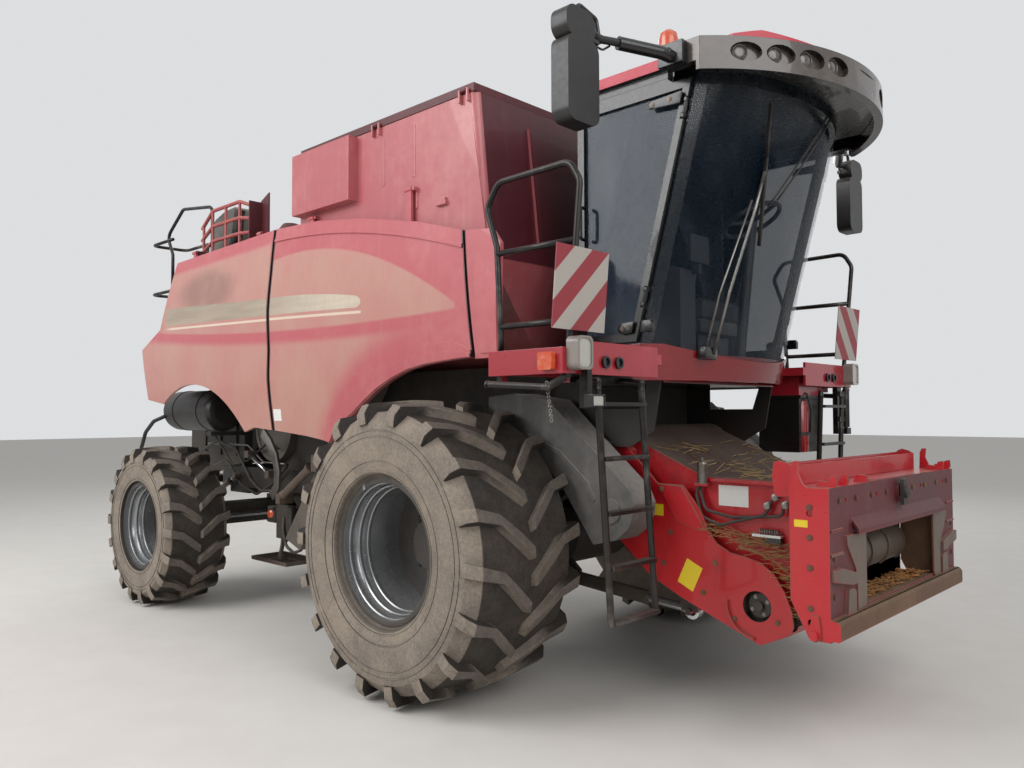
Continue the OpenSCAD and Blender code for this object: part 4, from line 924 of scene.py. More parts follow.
class Shape:
    """A mesh put together from simple forms, in the frame's metres."""

    def __init__(self) -> None:
        """Starts empty."""
        self.bm = bmesh.new()

    @classmethod
    def of_node(cls, node: str) -> "Shape":
        """Copies a CAD node's mesh and joins its loose triangles.

        Args:
            node: The node's name.

        Returns:
            The copy.
        """
        shape = cls()
        shape.bm.from_mesh(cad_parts[node].data)
        bmesh.ops.remove_doubles(shape.bm, verts=shape.bm.verts, dist=2e-5)
        bmesh.ops.dissolve_limit(
            shape.bm,
            angle_limit=math.radians(0.4),
            verts=shape.bm.verts,
            edges=shape.bm.edges,
        )
        return shape

    def box(self, low: Point, high: Point, slot: int = 0) -> "Shape":
        """Adds a box between two corners.

        Args:
            low: The lowest corner.
            high: The highest corner.
            slot: Material slot.

        Returns:
            The shape itself.
        """
        low, high = Vector(low), Vector(high)
        made = bmesh.ops.create_cube(self.bm, size=1.0)
        size = high - low
        for v in made["verts"]:
            v.co = Vector(
                (v.co.x * size.x, v.co.y * size.y, v.co.z * size.z)
            ) + (low + high) / 2
        self._mark(made["verts"], slot)
        return self

    def _mark(self, verts: Iterable[bmesh.types.BMVert], slot: int) -> None:
        """Gives the faces round some vertices a material slot.

        Args:
            verts: The vertices.
            slot: Material slot.
        """
        if slot:
            for f in {f for v in verts for f in v.link_faces}:
                f.material_index = slot

    def prism(
        self, outline: Sequence[Sequence[float]], place: Callable[[float, float, float], Point],
        start: float, end: float, slot: int = 0,
    ) -> "Shape":
        """Adds an outline drawn out between two levels.

        Args:
            outline: Points (u, v) of the outline.
            place: Turns (u, v, level) into a point of the frame.
            start: First level.
            end: Last level.
            slot: Material slot.

        Returns:
            The shape itself.
        """
        rings = [
            [self.bm.verts.new(place(u, v, level)) for u, v in outline]
            for level in (start, end)
        ]
        faces = [self.bm.faces.new(rings[0]), self.bm.faces.new(rings[1][::-1])]
        count = len(outline)
        for i in range(count):
            j = (i + 1) % count
            faces.append(
                self.bm.faces.new((rings[0][i], rings[1][i], rings[1][j], rings[0][j]))
            )
        for f in faces:
            f.material_index = slot
        bmesh.ops.recalc_face_normals(self.bm, faces=faces)
        return self

    def tag(
        self, point: Vector, normal: Vector, size: Pair,
        thick: float = 0.0015, turn: float = 0.0, slot: int = 0,
    ) -> "Shape":
        """Adds a thin rectangular plate that lies on a surface.

        Args:
            point: Its middle on the surface.
            normal: The surface's normal.
            size: Its width and height.
            thick: How far it stands out.
            turn: Turn on the surface, in degrees.
            slot: Material slot.

        Returns:
            The shape itself.
        """
        out = Vector(normal).normalized()
        side = Vector((0.0, 0.0, 1.0)).cross(out).normalized()
        rise = out.cross(side)
        a = math.radians(turn)
        side, rise = (side * math.cos(a) + rise * math.sin(a),
                      rise * math.cos(a) - side * math.sin(a))
        wide, high = size[0] / 2, size[1] / 2
        outline = [(-wide, -high), (wide, -high), (wide, high), (-wide, high)]
        return self.prism(
            outline,
            lambda u, v, level: tuple(Vector(point) + side * u + rise * v + out * level),
            -thick, thick, slot,
        )

    def ribbon(
        self, line: Sequence[Pair], width: float,
        place: Callable[[float, float, float], Point], start: float, end: float,
    ) -> "Shape":
        """Adds a curved strip between two levels.

        Args:
            line: Points (u, v) of its middle line.
            width: Its width beside the line.
            place: Turns (u, v, level) into a point of the frame.
            start: First level.
            end: Last level.

        Returns:
            The shape itself.
        """
        points = [Vector(q) for q in line]
        one, other = [], []
        for i, q in enumerate(points):
            way = points[min(i + 1, len(points) - 1)] - points[max(i - 1, 0)]
            off = Vector((-way.y, way.x)).normalized() * width / 2
            one.append(tuple(q + off))
            other.append(tuple(q - off))
        return self.prism(one + other[::-1], place, start, end)

    def tube(
        self, points: Sequence[Point], radius: float, bend: float = 0.06,
        sides: int = 14, slot: int = 0,
    ) -> "Shape":
        """Adds a round tube along a line with rounded corners.

        Args:
            points: Corners of the line.
            radius: Radius of the tube.
            bend: Radius of its bends.
            sides: Faces round the tube.
            slot: Material slot.

        Returns:
            The shape itself.
        """
        line = rounded(points, bend) if len(points) > 2 else [Vector(p) for p in points]
        ways = [(b - a).normalized() for a, b in zip(line, line[1:])]
        side = ways[0].orthogonal().normalized()
        rings = []
        for i, point in enumerate(line):
            way = (ways[max(i - 1, 0)] + ways[min(i, len(ways) - 1)]).normalized()
            side = (side - way * side.dot(way)).normalized()
            across = way.cross(side)
            rings.append([
                self.bm.verts.new(
                    point + (side * math.cos(a) + across * math.sin(a)) * radius
                )
                for a in (2 * math.pi * k / sides for k in range(sides))
            ])
        for low, high in zip(rings, rings[1:]):
            for k in range(sides):
                n = (k + 1) % sides
                self.bm.faces.new(
                    (low[k], low[n], high[n], high[k])
                ).material_index = slot
        for ring, turn in ((rings[0], -1), (rings[-1], 1)):
            self.bm.faces.new(ring[::turn]).material_index = slot
        return self

    def lathe(
        self, profile: Sequence[Pair], centre: Point, axis: Point,
        sides: int = 48, slot: int = 0,
    ) -> "Shape":
        """Adds a turned form.

        Args:
            profile: Points (radius, place along the axis) of a closed section.
            centre: A point on the axis, where the place is 0.
            axis: The axis.
            sides: Steps round the axis.
            slot: Material slot.

        Returns:
            The shape itself.
        """
        way = Vector(axis).normalized()
        side = way.orthogonal().normalized()
        across = way.cross(side)
        middle = Vector(centre)
        rings = []
        for radius, along in profile:
            if radius < 1e-6:
                rings.append([self.bm.verts.new(middle + way * along)] * sides)
                continue
            rings.append([
                self.bm.verts.new(
                    middle + way * along
                    + (side * math.cos(a) + across * math.sin(a)) * radius
                )
                for a in (2 * math.pi * k / sides for k in range(sides))
            ])
        faces = []
        for i in range(len(rings)):
            low, high = rings[i], rings[(i + 1) % len(rings)]
            if low[0] is low[1] and high[0] is high[1]:
                continue
            for k in range(sides):
                n = (k + 1) % sides
                corners = []
                for v in (low[k], low[n], high[n], high[k]):
                    if v not in corners:
                        corners.append(v)
                faces.append(self.bm.faces.new(corners))
                faces[-1].material_index = slot
        bmesh.ops.recalc_face_normals(self.bm, faces=faces)
        return self

    def bevel(self, width: float, slot: int = -1, angle: float = 35.0) -> "Shape":
        """Rounds the sharp edges that are long enough.

        Args:
            width: Width of the bevel.
            slot: Material slot of the bevels, or -1 for that of their neighbours.
            angle: Smallest angle between faces, in degrees.

        Returns:
            The shape itself.
        """
        limit = math.radians(angle)
        edges = [
            e for e in self.bm.edges
            if e.is_manifold and e.calc_face_angle(0.0) > limit
            and e.calc_length() > 5 * width
        ]
        bmesh.ops.bevel(
            self.bm, geom=edges, offset=width, segments=2, profile=0.6,
            affect="EDGES", clamp_overlap=False, material=slot,
        )
        return self

    def paint(self, test: Callable[[Face], bool], slot: int) -> "Shape":
        """Gives the faces that pass a test a material slot.

        Args:
            test: Tells whether a face is meant.
            slot: Material slot.

        Returns:
            The shape itself.
        """
        for f in self.bm.faces:
            if test(f):
                f.material_index = slot
        return self

    def piece(
        self, name: str, body: str, looks: Sequence["Look | Finish"],
        replaces: Sequence[str] = (), slot: str | None = None, smooth: float = 32.0,
        even: bool = False,
    ) -> bpy.types.Object:
        """Turns the shape into a finished piece that rides on a body.

        Args:
            name: The piece's name.
            body: The CAD body that it rides on.
            looks: Finishes of its material slots.
            replaces: CAD nodes that it stands for.
            slot: The record's material slot; not used.
            smooth: Edges flatter than this angle are shaded smooth.
            even: Whether large flat faces keep their own shading up to their edges.

        Returns:
            The piece.
        """
        limit = math.radians(smooth)
        for e in self.bm.edges:
            e.smooth = e.is_manifold and e.calc_face_angle(math.pi) < limit
        for f in self.bm.faces:
            f.smooth = True
        mesh = bpy.data.meshes.new(name)
        self.bm.to_mesh(mesh)
        self.bm.free()
        if even:
            mesh = evened(mesh)
        return settle(name, mesh, body, looks, replaces)


def plain_mesh(piece: bpy.types.Object) -> bpy.types.Mesh:
    """Gives a new mesh in which an object's modifiers are applied."""
    graph = bpy.context.evaluated_depsgraph_get()
    return bpy.data.meshes.new_from_object(piece.evaluated_get(graph), depsgraph=graph)


def evened(mesh: bpy.types.Mesh) -> bpy.types.Mesh:
    """Weighs normals by the faces' areas, so that flat sheets are shaded flat.

    Args:
        mesh: The mesh, which is given up.

    Returns:
        The same shape with the weighed normals.
    """
    holder = bpy.data.objects.new(mesh.name, mesh)
    bpy.context.scene.collection.objects.link(holder)
    holder.modifiers.new("even shading", "WEIGHTED_NORMAL").keep_sharp = True
    made = plain_mesh(holder)
    bpy.data.objects.remove(holder)
    bpy.data.meshes.remove(mesh)
    return made


def settle(
    name: str, mesh: bpy.types.Mesh, body: str, looks: Sequence["Look | Finish"],
    replaces: Sequence[str] = (),
) -> bpy.types.Object:
    """Puts a mesh into the scene as a piece.

    Args:
        name: The piece's name.
        mesh: Its mesh.
        body: The CAD body that it rides on.
        looks: Finishes of its material slots.
        replaces: CAD nodes that it stands for.

    Returns:
        The piece.
    """
    if len(mesh.materials):
        mesh.materials.clear()
    for look in looks:
        mesh.materials.append(material(look))
    made = bpy.data.objects.new(name, mesh)
    bpy.context.scene.collection.objects.link(made)
    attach(made, body)
    if replaces:
        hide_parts(*replaces)
    LOG.info("%s on %s, %d faces", name, body, len(mesh.polygons))
    return made


def dress(
    node: str, body: str, look: "Look | Finish", slot: str, bevel: float = 0.003,
    edge: "Look | Finish | None" = None,
    paint: Callable[[Shape], Shape] | None = None,
    more: Sequence["Look | Finish"] = (),
) -> bpy.types.Object:
    """Replaces a CAD node by a copy with soft edges and a finish.

    Args:
        node: The node's name.
        body: The body that it belongs to.
        look: Its finish.
        slot: The record's material slot.
        bevel: Width of the rounded edges.
        edge: Finish of the rounded edges.
        paint: Gives faces their own slots before the edges are rounded.
        more: Finishes of those slots, from slot 2.

    Returns:
        The piece.
    """
    shape = Shape.of_node(node)
    if paint:
        paint(shape)
    if bevel:
        shape.bevel(bevel, 1 if edge else -1)
    return shape.piece(
        node + "_skin", body, [look, edge or look, *more], [node], slot,
        even=bevel > 0.0 and not node.startswith(("tyre", "rim")),
    )


def swell(piece: bpy.types.Object, voxel: float = 0.009, most: float = 0.016) -> None:
    """Fills a pad by cloth pressure and leaves the swollen form in its mesh.

    Args:
        piece: The pad, in a shape slightly smaller than the finished one.
        voxel: Size of the grid that the shape is rebuilt on, in metres.
        most: How far a point may move, in metres.
    """
    scene = bpy.context.scene
    grid = piece.modifiers.new("grid", "REMESH")
    grid.mode, grid.voxel_size = "VOXEL", voxel
    bake(piece)
    start = [v.co.copy() for v in piece.data.vertices]
    cloth = piece.modifiers.new("pad", "CLOTH")
    cloth.settings.use_pressure = True
    cloth.settings.uniform_pressure_force = 4.0
    cloth.settings.effector_weights.gravity = 0.0
    for number in range(1, 21):
        scene.frame_set(number)
    bake(piece)
    scene.frame_set(1)
    for vertex, home in zip(piece.data.vertices, start):
        move = vertex.co - home
        if move.length > most:
            vertex.co = home + move * (most / move.length)
    finer = piece.modifiers.new("finer", "SUBSURF")
    finer.levels = finer.render_levels = 1
    bake(piece)
    for face in piece.data.polygons:
        face.use_smooth = True


def bake(piece: bpy.types.Object) -> None:
    """Writes a piece's modifiers into its mesh and removes them.

    Args:
        piece: The piece.
    """
    made = plain_mesh(piece)
    piece.modifiers.clear()
    piece.data = made


# Repeats by Geometry Nodes


class Repeat(Tree):
    """A Geometry Nodes tree that puts a form on each point of a mesh."""

    def __init__(self, name: str) -> None:
        """Makes the tree with its geometry sockets."""
        group = bpy.data.node_groups.new(name, "GeometryNodeTree")
        super().__init__(group)
        self.group = group
        self.named: dict[str, str] = {}
        for way in ("INPUT", "OUTPUT"):
            group.interface.new_socket(
                "Geometry", in_out=way, socket_type="NodeSocketGeometry"
            )
        self.source = self.node("NodeGroupInput")

    def given(self, name: str, kind: str = "NodeSocketFloat") -> Link:
        """Adds a named input.

        Args:
            name: The input's name.
            kind: Its socket type.

        Returns:
            The input.
        """
        made = self.group.interface.new_socket(name, in_out="INPUT", socket_type=kind)
        self.named[name] = made.identifier
        return Link(self, self.source.outputs[name])

    def end(self, geometry: Link) -> None:
        """Closes the tree with Realize Instances and Set Material."""
        real = self.out("GeometryNodeRealizeInstances", None, {0: geometry})
        look = self.given("Finish", "NodeSocketMaterial")
        last = self.out(
            "GeometryNodeSetMaterial", None, {"Geometry": real, "Material": look}
        )
        self.node("NodeGroupOutput", None, {0: last})

    def made_on(
        self, mesh: bpy.types.Mesh, look: "Look | Finish", **sizes: float
    ) -> bpy.types.Mesh:
        """Runs the tree on a mesh.

        Args:
            mesh: The mesh that carries the points.
            look: The finish of the result.
            sizes: Values of the named inputs.

        Returns:
            The plain mesh.
        """
        holder = bpy.data.objects.new("holder", mesh)
        bpy.context.scene.collection.objects.link(holder)
        modifier = holder.modifiers.new("repeat", "NODES")
        modifier.node_group = self.group
        for name, value in sizes.items():
            modifier[self.named[name]] = value
        modifier[self.named["Finish"]] = material(look)
        result = plain_mesh(holder)
        holder.modifiers.clear()
        bpy.data.objects.remove(holder)
        return result


def points_mesh(
    points: Sequence[Point], ways: Sequence[Point]
) -> bpy.types.Mesh:
    """Makes a mesh of loose points, each with the way it faces.

    Args:
        points: The points.
        ways: The direction stored on each point.

    Returns:
        The mesh.
    """
    mesh = bpy.data.meshes.new("points")
    mesh.from_pydata([tuple(p) for p in points], [], [])
    store = mesh.attributes.new("way", "FLOAT_VECTOR", "POINT")
    for item, way in zip(store.data, ways):
        item.vector = way
    return mesh


def bolt_tree() -> Repeat:
    """Builds the tree that puts a hexagonal head on a washer at each point.

    Returns:
        The tree, with the inputs Radius and Height.
    """
    tree = Repeat("bolt_heads")
    radius, height = tree.given("Radius"), tree.given("Height")
    head = tree.out(
        "GeometryNodeMeshCylinder", None,
        {"Vertices": 6, "Radius": radius, "Depth": height},
    )
    washer = tree.out(
        "GeometryNodeMeshCylinder", None,
        {"Vertices": 14, "Radius": radius * 1.5, "Depth": height * 0.25},
    )
    join = tree.node("GeometryNodeJoinGeometry")
    for part in (head, washer):
        tree.tree.links.new(part.socket, join.inputs[0])
    way = tree.out(
        "GeometryNodeInputNamedAttribute", {"data_type": "FLOAT_VECTOR"}, {0: "way"}
    )
    turn = tree.out(
        "FunctionNodeAlignRotationToVector", {"axis": "Z"}, {"Vector": way}
    )
    cloud = tree.out(
        "GeometryNodeMeshToPoints", None, {0: Link(tree, tree.source.outputs[0])}
    )
    heads = tree.out(
        "GeometryNodeInstanceOnPoints", None,
        {"Points": cloud, "Instance": Link(tree, join.outputs[0]), "Rotation": turn},
    )
    tree.end(heads)
    return tree


def straw_tree() -> Repeat:
    """Builds the tree that scatters stalks over a surface.

    Returns:
        The tree, with the inputs Density, Length, Radius and Seed.
    """
    tree = Repeat("straw_scatter")
    density, length = tree.given("Density"), tree.given("Length")
    radius = tree.given("Radius")
    seed = tree.given("Seed", "NodeSocketInt")
    stalk = tree.out(
        "GeometryNodeMeshCylinder", None,
        {"Vertices": 4, "Radius": radius, "Depth": length},
    )
    spread = tree.node(
        "GeometryNodeDistributePointsOnFaces", None,
        {"Mesh": Link(tree, tree.source.outputs[0]), "Density": density, "Seed": seed},
    )
    spin = tree.out(
        "FunctionNodeRandomValue", {"data_type": "FLOAT_VECTOR"},
        {0: (1.15, -0.5, 0.0), 1: (1.9, 0.5, 6.28), "Seed": seed},
    )
    scale = tree.out(
        "FunctionNodeRandomValue", {"data_type": "FLOAT_VECTOR"},
        {0: (0.7, 0.7, 0.35), 1: (1.4, 1.4, 1.3), "Seed": seed},
    )
    stalks = tree.out(
        "GeometryNodeInstanceOnPoints", None,
        {
            "Points": Link(tree, spread.outputs["Points"]), "Instance": stalk,
            "Rotation": spin, "Scale": scale,
        },
    )
    tree.end(stalks)
    return tree


class Tool(Enum):
    """The trees, each built once."""

    BOLTS = "bolts"
    STRAW = "straw"


TREES: dict[Tool, Repeat] = {Tool.BOLTS: bolt_tree(), Tool.STRAW: straw_tree()}


def bolts(
    name: str, body: str, points: Sequence[Point], way: Point | Sequence[Point],
    look: Look = Look.STEEL, radius: float = 0.009, height: float = 0.012,
) -> bpy.types.Object:
    """Adds a set of bolt heads as one piece.

    Args:
        name: The piece's name.
        body: The body that it rides on.
        points: Places of the heads.
        way: The direction they face, or one for each.
        look: Their finish.
        radius: Radius of a head.
        height: Height of a head.

    Returns:
        The piece.
    """
    ways = [way] * len(points) if isinstance(way[0], (int, float)) else way
    mesh = TREES[Tool.BOLTS].made_on(
        points_mesh(points, ways), look, Radius=radius, Height=height
    )
    return settle(name, mesh, body, [look], ())


class Skin:
    """The surface of a CAD node, on which small pieces are set."""

    def __init__(self, node: str) -> None:
        """Reads the node's mesh."""
        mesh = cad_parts[node].data
        self.tree = BVHTree.FromPolygons(
            [v.co.copy() for v in mesh.vertices], [p.vertices[:] for p in mesh.polygons]
        )

    def hit(self, start: Point, way: Point) -> tuple[Vector, Vector]:
        """Finds where a line first meets the surface, or its start where it misses."""
        point, normal, _, _ = self.tree.ray_cast(Vector(start), Vector(way))
        return (point, normal) if point else (Vector(start), -Vector(way))


# Sub-assemblies


@dataclass
class Wheels:
    """Tyres and rims of both axles.

    Attributes:
        nut_ring: Radius of the ring of wheel nuts, front and rear.
        nut_count: Number of wheel nuts, front and rear.
        lug_height: Height of a tread lug.
        wall_rings: Radii of the raised rings on a sidewall, as shares of the radius.
        steps: Depths of the ribs inside a rim, from its outer edge.
    """

    nut_ring: Pair = (0.2, 0.15)
    nut_count: tuple[int, int] = (10, 8)
    lug_height: float = 0.055
    wall_rings: tuple[float, ...] = (0.53, 0.6, 0.76, 0.8)
    steps: tuple[float, ...] = (0.05, 0.11, 0.17)

    def build(self) -> None:
        """Dresses the four wheels."""
        for end, ring, count in zip(ENDS, self.nut_ring, self.nut_count):
            for side, sign in SIDES:
                self._tyre(end, side, sign)
                self._rim(end, side, sign, ring, count)

    def _tyre(self, end: str, side: str, sign: float) -> None:
        """Dresses one tyre with soft lug edges and rings on its sidewall.

        Args:
            end: Front or rear.
            side: Left or right.
            sign: 1 for left, -1 for right.
        """
        node, body = f"tyre_{end}_{side}", f"wheel_{end}_{side}"
        middle = centre_of(node)
        low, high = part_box(node)
        radius = (high.z - low.z) / 2
        # Base colour: near-black grooves, partly painted shade.
        rubber = TyreRubber(
            f"rubber_{end}_{side}", "211d1a", "352e28", 0.5, rough=0.75, grain=140.0,
            depth=0.0008, centre=tuple(middle), radius=radius, lug=self.lug_height,
        )
        dress(node, body, rubber, "tyre", bevel=0.006)
        skin, rings = Skin(node), Shape()
        for share in self.wall_rings:
            r = radius * share
            start = (middle.x + r * 0.6, middle.y + sign * 0.8, middle.z + r * 0.8)
            point, _ = skin.hit(start, (0.0, -sign, 0.0))
            y = point.y - middle.y
            rings.lathe(
                [(r - 0.006, y - sign * 0.006), (r - 0.003, y + sign * 0.0035),
                 (r + 0.003, y + sign * 0.0035), (r + 0.006, y - sign * 0.006)],
                tuple(middle), (0.0, 1.0, 0.0), 96,
            )
        rings.piece(f"sidewall_rings_{end}_{side}", body, [rubber], slot="tyre")

    def _rim(self, end: str, side: str, sign: float, ring: float, count: int) -> None:
        """Dresses one rim and adds its inner ribs, nuts and hub cap.

        Args:
            end: Front or rear.
            side: Left or right.
            sign: 1 for left, -1 for right.
            ring: Radius of the ring of wheel nuts.
            count: Number of wheel nuts.
        """
        node, body = f"rim_{end}_{side}", f"wheel_{end}_{side}"
        middle, skin = centre_of(f"tyre_{end}_{side}"), Skin(node)
        low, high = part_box(node)
        radius = (high.z - low.z) / 2

        def disc(f: Face) -> bool:
            """Tells whether a face belongs to the disc inside the rim."""
            c = f.calc_center_median() - middle
            return abs(f.normal.y) > 0.35 and math.hypot(c.x, c.z) < radius * 0.76

        # The disc deep inside the rim takes dark grey as painted shade.
        dress(node, body, Look.RIM, "rim", 0.004,
              paint=lambda s: s.paint(disc, 2), more=[Look.DISC])
        steps = Shape()
        outer = max(abs(low.y), abs(high.y))
        for depth in self.steps:
            start = (middle.x, sign * (outer - depth), middle.z)
            point, _ = skin.hit(start, (0.0, 0.0, 1.0))
            r, y = point.z - middle.z, start[1] - middle.y
            steps.lathe(
                [(r + 0.002, y - 0.016), (r - 0.007, y - 0.01), (r - 0.009, y),
                 (r - 0.007, y + 0.01), (r + 0.002, y + 0.016)],
                tuple(middle), (0.0, 1.0, 0.0), 96,
            )
        steps.piece(f"rim_steps_{end}_{side}", body, [Look.RIM], slot="rim")
        places = []
        for k in range(count):
            a = 2 * math.pi * k / count
            x, z = middle.x + ring * math.cos(a), middle.z + ring * math.sin(a)
            point, _ = skin.hit((x, middle.y + sign, z), (0.0, -sign, 0.0))
            places.append((x, point.y + sign * 0.008, z))
        bolts(f"wheel_nuts_{end}_{side}", body, places, (0.0, sign, 0.0),
              radius=0.016, height=0.022)
        cap = Shape()
        face = places[0][1]
        r = ring * 0.5
        cap.lathe(
            [(0.0, 0.0), (r, 0.0), (r, sign * 0.02), (r * 0.82, sign * 0.034),
             (r * 0.4, sign * 0.038), (0.0, sign * 0.038)],
            (middle.x, face, middle.z), (0.0, 1.0, 0.0),
        )
        cap.piece(f"hub_cap_{end}_{side}", body, [Look.CHASSIS], slot="chassis")


@dataclass
class Underbody:
    """Frame, axles, knuckles, tanks and the closed threshing body.

    Attributes:
        hoses: Rigid pipes: name, radius, finish and the points they follow.
        plain: The CAD nodes with their body, finish and material slot.
        guard: Middle line of the curved guard, in X and Z.
        brackets: Corners of the marker bracket's blocks.
        cylinders: Ends of the small cylinders and their radius.
        lugs: Corners of the blocks that hold the cylinders and the stay.
    """

    hoses: tuple[tuple[str, float, Look, tuple[Point, ...]], ...] = (
        ("tank_breather", 0.02, Look.HOSE,
         ((-5.04, -1.28, 1.4), (-4.93, -1.28, 1.58), (-4.75, -1.27, 1.7),
          (-4.6, -1.2, 1.76))),
        ("hose_upper", 0.014, Look.HOSE,
         ((-4.55, -0.83, 1.38), (-4.2, -0.83, 1.5), (-3.8, -0.83, 1.42),
          (-3.5, -0.83, 1.12), (-3.3, -0.83, 1.02), (-2.9, -0.83, 1.05))),
        ("hose_lower", 0.012, Look.HOSE,
         ((-4.4, -0.82, 1.2), (-4.0, -0.82, 1.3), (-3.7, -0.82, 1.05),
          (-3.4, -0.82, 0.98), (-3.05, -0.82, 1.12), (-2.8, -0.84, 1.3))),
        ("hose_back", 0.011, Look.HOSE,
         ((-4.3, -0.81, 1.55), (-3.9, -0.81, 1.25), (-3.6, -0.81, 1.3),
          (-3.2, -0.81, 1.5), (-3.0, -0.82, 1.44))),
        ("pipe_long", 0.009, Look.STEEL,
         ((-4.45, -0.805, 1.46), (-3.6, -0.805, 1.46), (-3.3, -0.805, 1.3),
          (-2.9, -0.805, 1.3))),
    )
    plain: tuple[tuple[str, str, Look, str], ...] = (
        ("frame", "root", Look.CHASSIS, "chassis"),
        ("front_axle", "root", Look.CHASSIS, "chassis"),
        ("rear_axle", "root", Look.CHASSIS, "chassis"),
        ("fuel_tank", "root", Look.PLASTIC, "black_plastic"),
        ("engine", "root", Look.IRON, "engine_iron"),
        ("straw_hood", "root", Look.DARK_SHEET, "dusty_sheet"),
        ("drive_shields", "root", Look.SHIELD, "dusty_sheet"),
        ("knuckle_left", "knuckle_left_body", Look.CHASSIS, "chassis"),
        ("knuckle_right", "knuckle_right_body", Look.CHASSIS, "chassis"),
        ("steering_rods", "steering_rod", Look.CHROME, "steel"),
        ("spreader_disc_left", "spreader_left", Look.STEEL, "steel"),
        ("spreader_disc_right", "spreader_right", Look.STEEL, "steel"),
        ("lift_barrels", "lift_barrel", Look.CHASSIS, "chassis"),
        ("lift_rods", "lift_rod", Look.CHROME, "steel"),
    )
    guard: tuple[Pair, ...] = (
        (-3.02, 1.6), (-2.9, 1.51), (-2.8, 1.39), (-2.75, 1.25), (-2.76, 1.1),
        (-2.85, 1.01),
    )
    brackets: tuple[tuple[Point, Point], ...] = (
        ((-3.05, -0.9, 0.75), (-2.91, -0.8, 0.9)),
        ((-2.86, -0.92, 0.62), (-2.6, -0.87, 0.93)),
        ((-2.95, -0.9, 0.86), (-2.6, -0.72, 0.9)),
    )
    cylinders: tuple[tuple[Point, Point, float], ...] = (
        ((-2.6, -1.0, 1.04), (-2.16, -1.0, 1.31), 0.042),
        ((-4.2, -0.84, 0.95), (-3.9, -0.84, 1.09), 0.032),
    )
    lugs: tuple[tuple[Point, Point], ...] = (
        ((-3.52, -0.89, 1.34), (-3.45, -0.79, 1.41)),
        ((-3.13, -0.89, 1.16), (-3.06, -0.79, 1.23)),
        ((-2.08, -1.05, 1.28), (-2.0, -0.95, 1.42)),
        ((-2.67, -1.04, 0.96), (-2.6, -0.9, 1.05)),
    )

    def build(self) -> None:
        """Dresses the pieces under the body and adds what hangs between the wheels."""
        for node, body, look, slot in self.plain:
            dress(node, body, look, slot)

        def step(f: Face) -> bool:
            """Tells whether a face belongs to the slatted step."""
            c = f.calc_center_median()
            return c.z < 0.45 and c.x < AXLE_X - 2.7

        def dark(f: Face) -> bool:
            """Tells whether a face belongs to the body between the elevators."""
            return abs(f.calc_center_median().y) < 0.7005

        dress("lower_body", "root", Look.SHEET, "dusty_sheet",
              paint=lambda s: s.paint(dark, 3).paint(step, 2),
              more=[Look.GUIDE, Look.DARK_SHEET])
        self._guards()
        self._cylinders()
        self._hoses()

    def _guards(self) -> None:
        """Adds the curved guard, the marker's bracket and the step's hook."""
        guard = Shape()
        guard.ribbon(self.guard, 0.09, wall, -0.957, -0.985)
        guard.bevel(0.004)
        guard.piece("curved_guard", "root", [Look.STEEL], slot="steel")
        block = Shape()
        for low, high in self.brackets:
            block.box(at(*low), at(*high))
        block.bevel(0.006)
        block.tube([at(-2.78, -0.9, 0.64), at(-2.8, -0.9, 0.5), at(-2.92, -0.82, 0.37)],
                   0.013, 0.05, 10)
        block.tube([at(-2.72, -0.925, 0.83), at(-2.7, -0.94, 0.7), at(-2.65, -0.94, 0.57),
                    at(-2.52, -0.94, 0.52), at(-2.4, -0.94, 0.56)], 0.014, 0.08, 10)
        block.piece("marker_bracket", "root", [Look.CHASSIS], slot="chassis")
        marker = Shape()
        marker.lathe([(0.0, 0.0), (0.036, 0.0), (0.036, 0.012), (0.024, 0.02),
                      (0.0, 0.023)], at(-2.985, -0.9, 0.83), (0.35, -1.0, 0.0), 28)
        marker.piece("round_marker", "root", [Look.AMBER], slot="lamp_glass")

    def _cylinders(self) -> None:
        """Adds the small cylinders and stays between the wheels."""
        barrels, rods = Shape(), Shape()
        for low, high, wide in self.cylinders:
            a, b = Vector(at(*low)), Vector(at(*high))
            way = (b - a).normalized()
            reach = (b - a).length
            barrels.lathe(
                [(0.0, 0.0), (wide, 0.0), (wide, 0.02), (wide * 0.86, 0.025),
                 (wide * 0.86, reach - 0.04), (wide * 1.08, reach - 0.035),
                 (wide * 1.08, reach), (0.0, reach)], a, way, 28,
            )
            for end in (a - way * 0.03, b + way * 0.14):
                barrels.lathe(
                    [(0.0, -0.03), (wide * 0.9, -0.03), (wide * 0.9, 0.03), (0.0, 0.03)],
                    end, (0.0, 1.0, 0.0), 24,
                )
            rods.tube([b - way * 0.02, b + way * 0.14], wide * 0.45, 0.02, 16)
        rods.tube([at(-3.46, -0.86, 1.37), at(-3.12, -0.86, 1.2)], 0.018, 0.02, 14)
        for low, high in self.lugs:
            barrels.box(at(*low), at(*high))
        barrels.piece("small_barrels", "root", [Look.GUIDE], slot="steel")
        rods.piece("small_rods", "root", [Look.CHROME], slot="steel")

    def _hoses(self) -> None:
        """Adds rigid pipes and hoses, none of which hangs free."""
        for name, radius, look, line in self.hoses:
            Shape().tube([at(*p) for p in line], radius, 0.12, 12).piece(
                name, "root", [look], slot="black_plastic"
            )


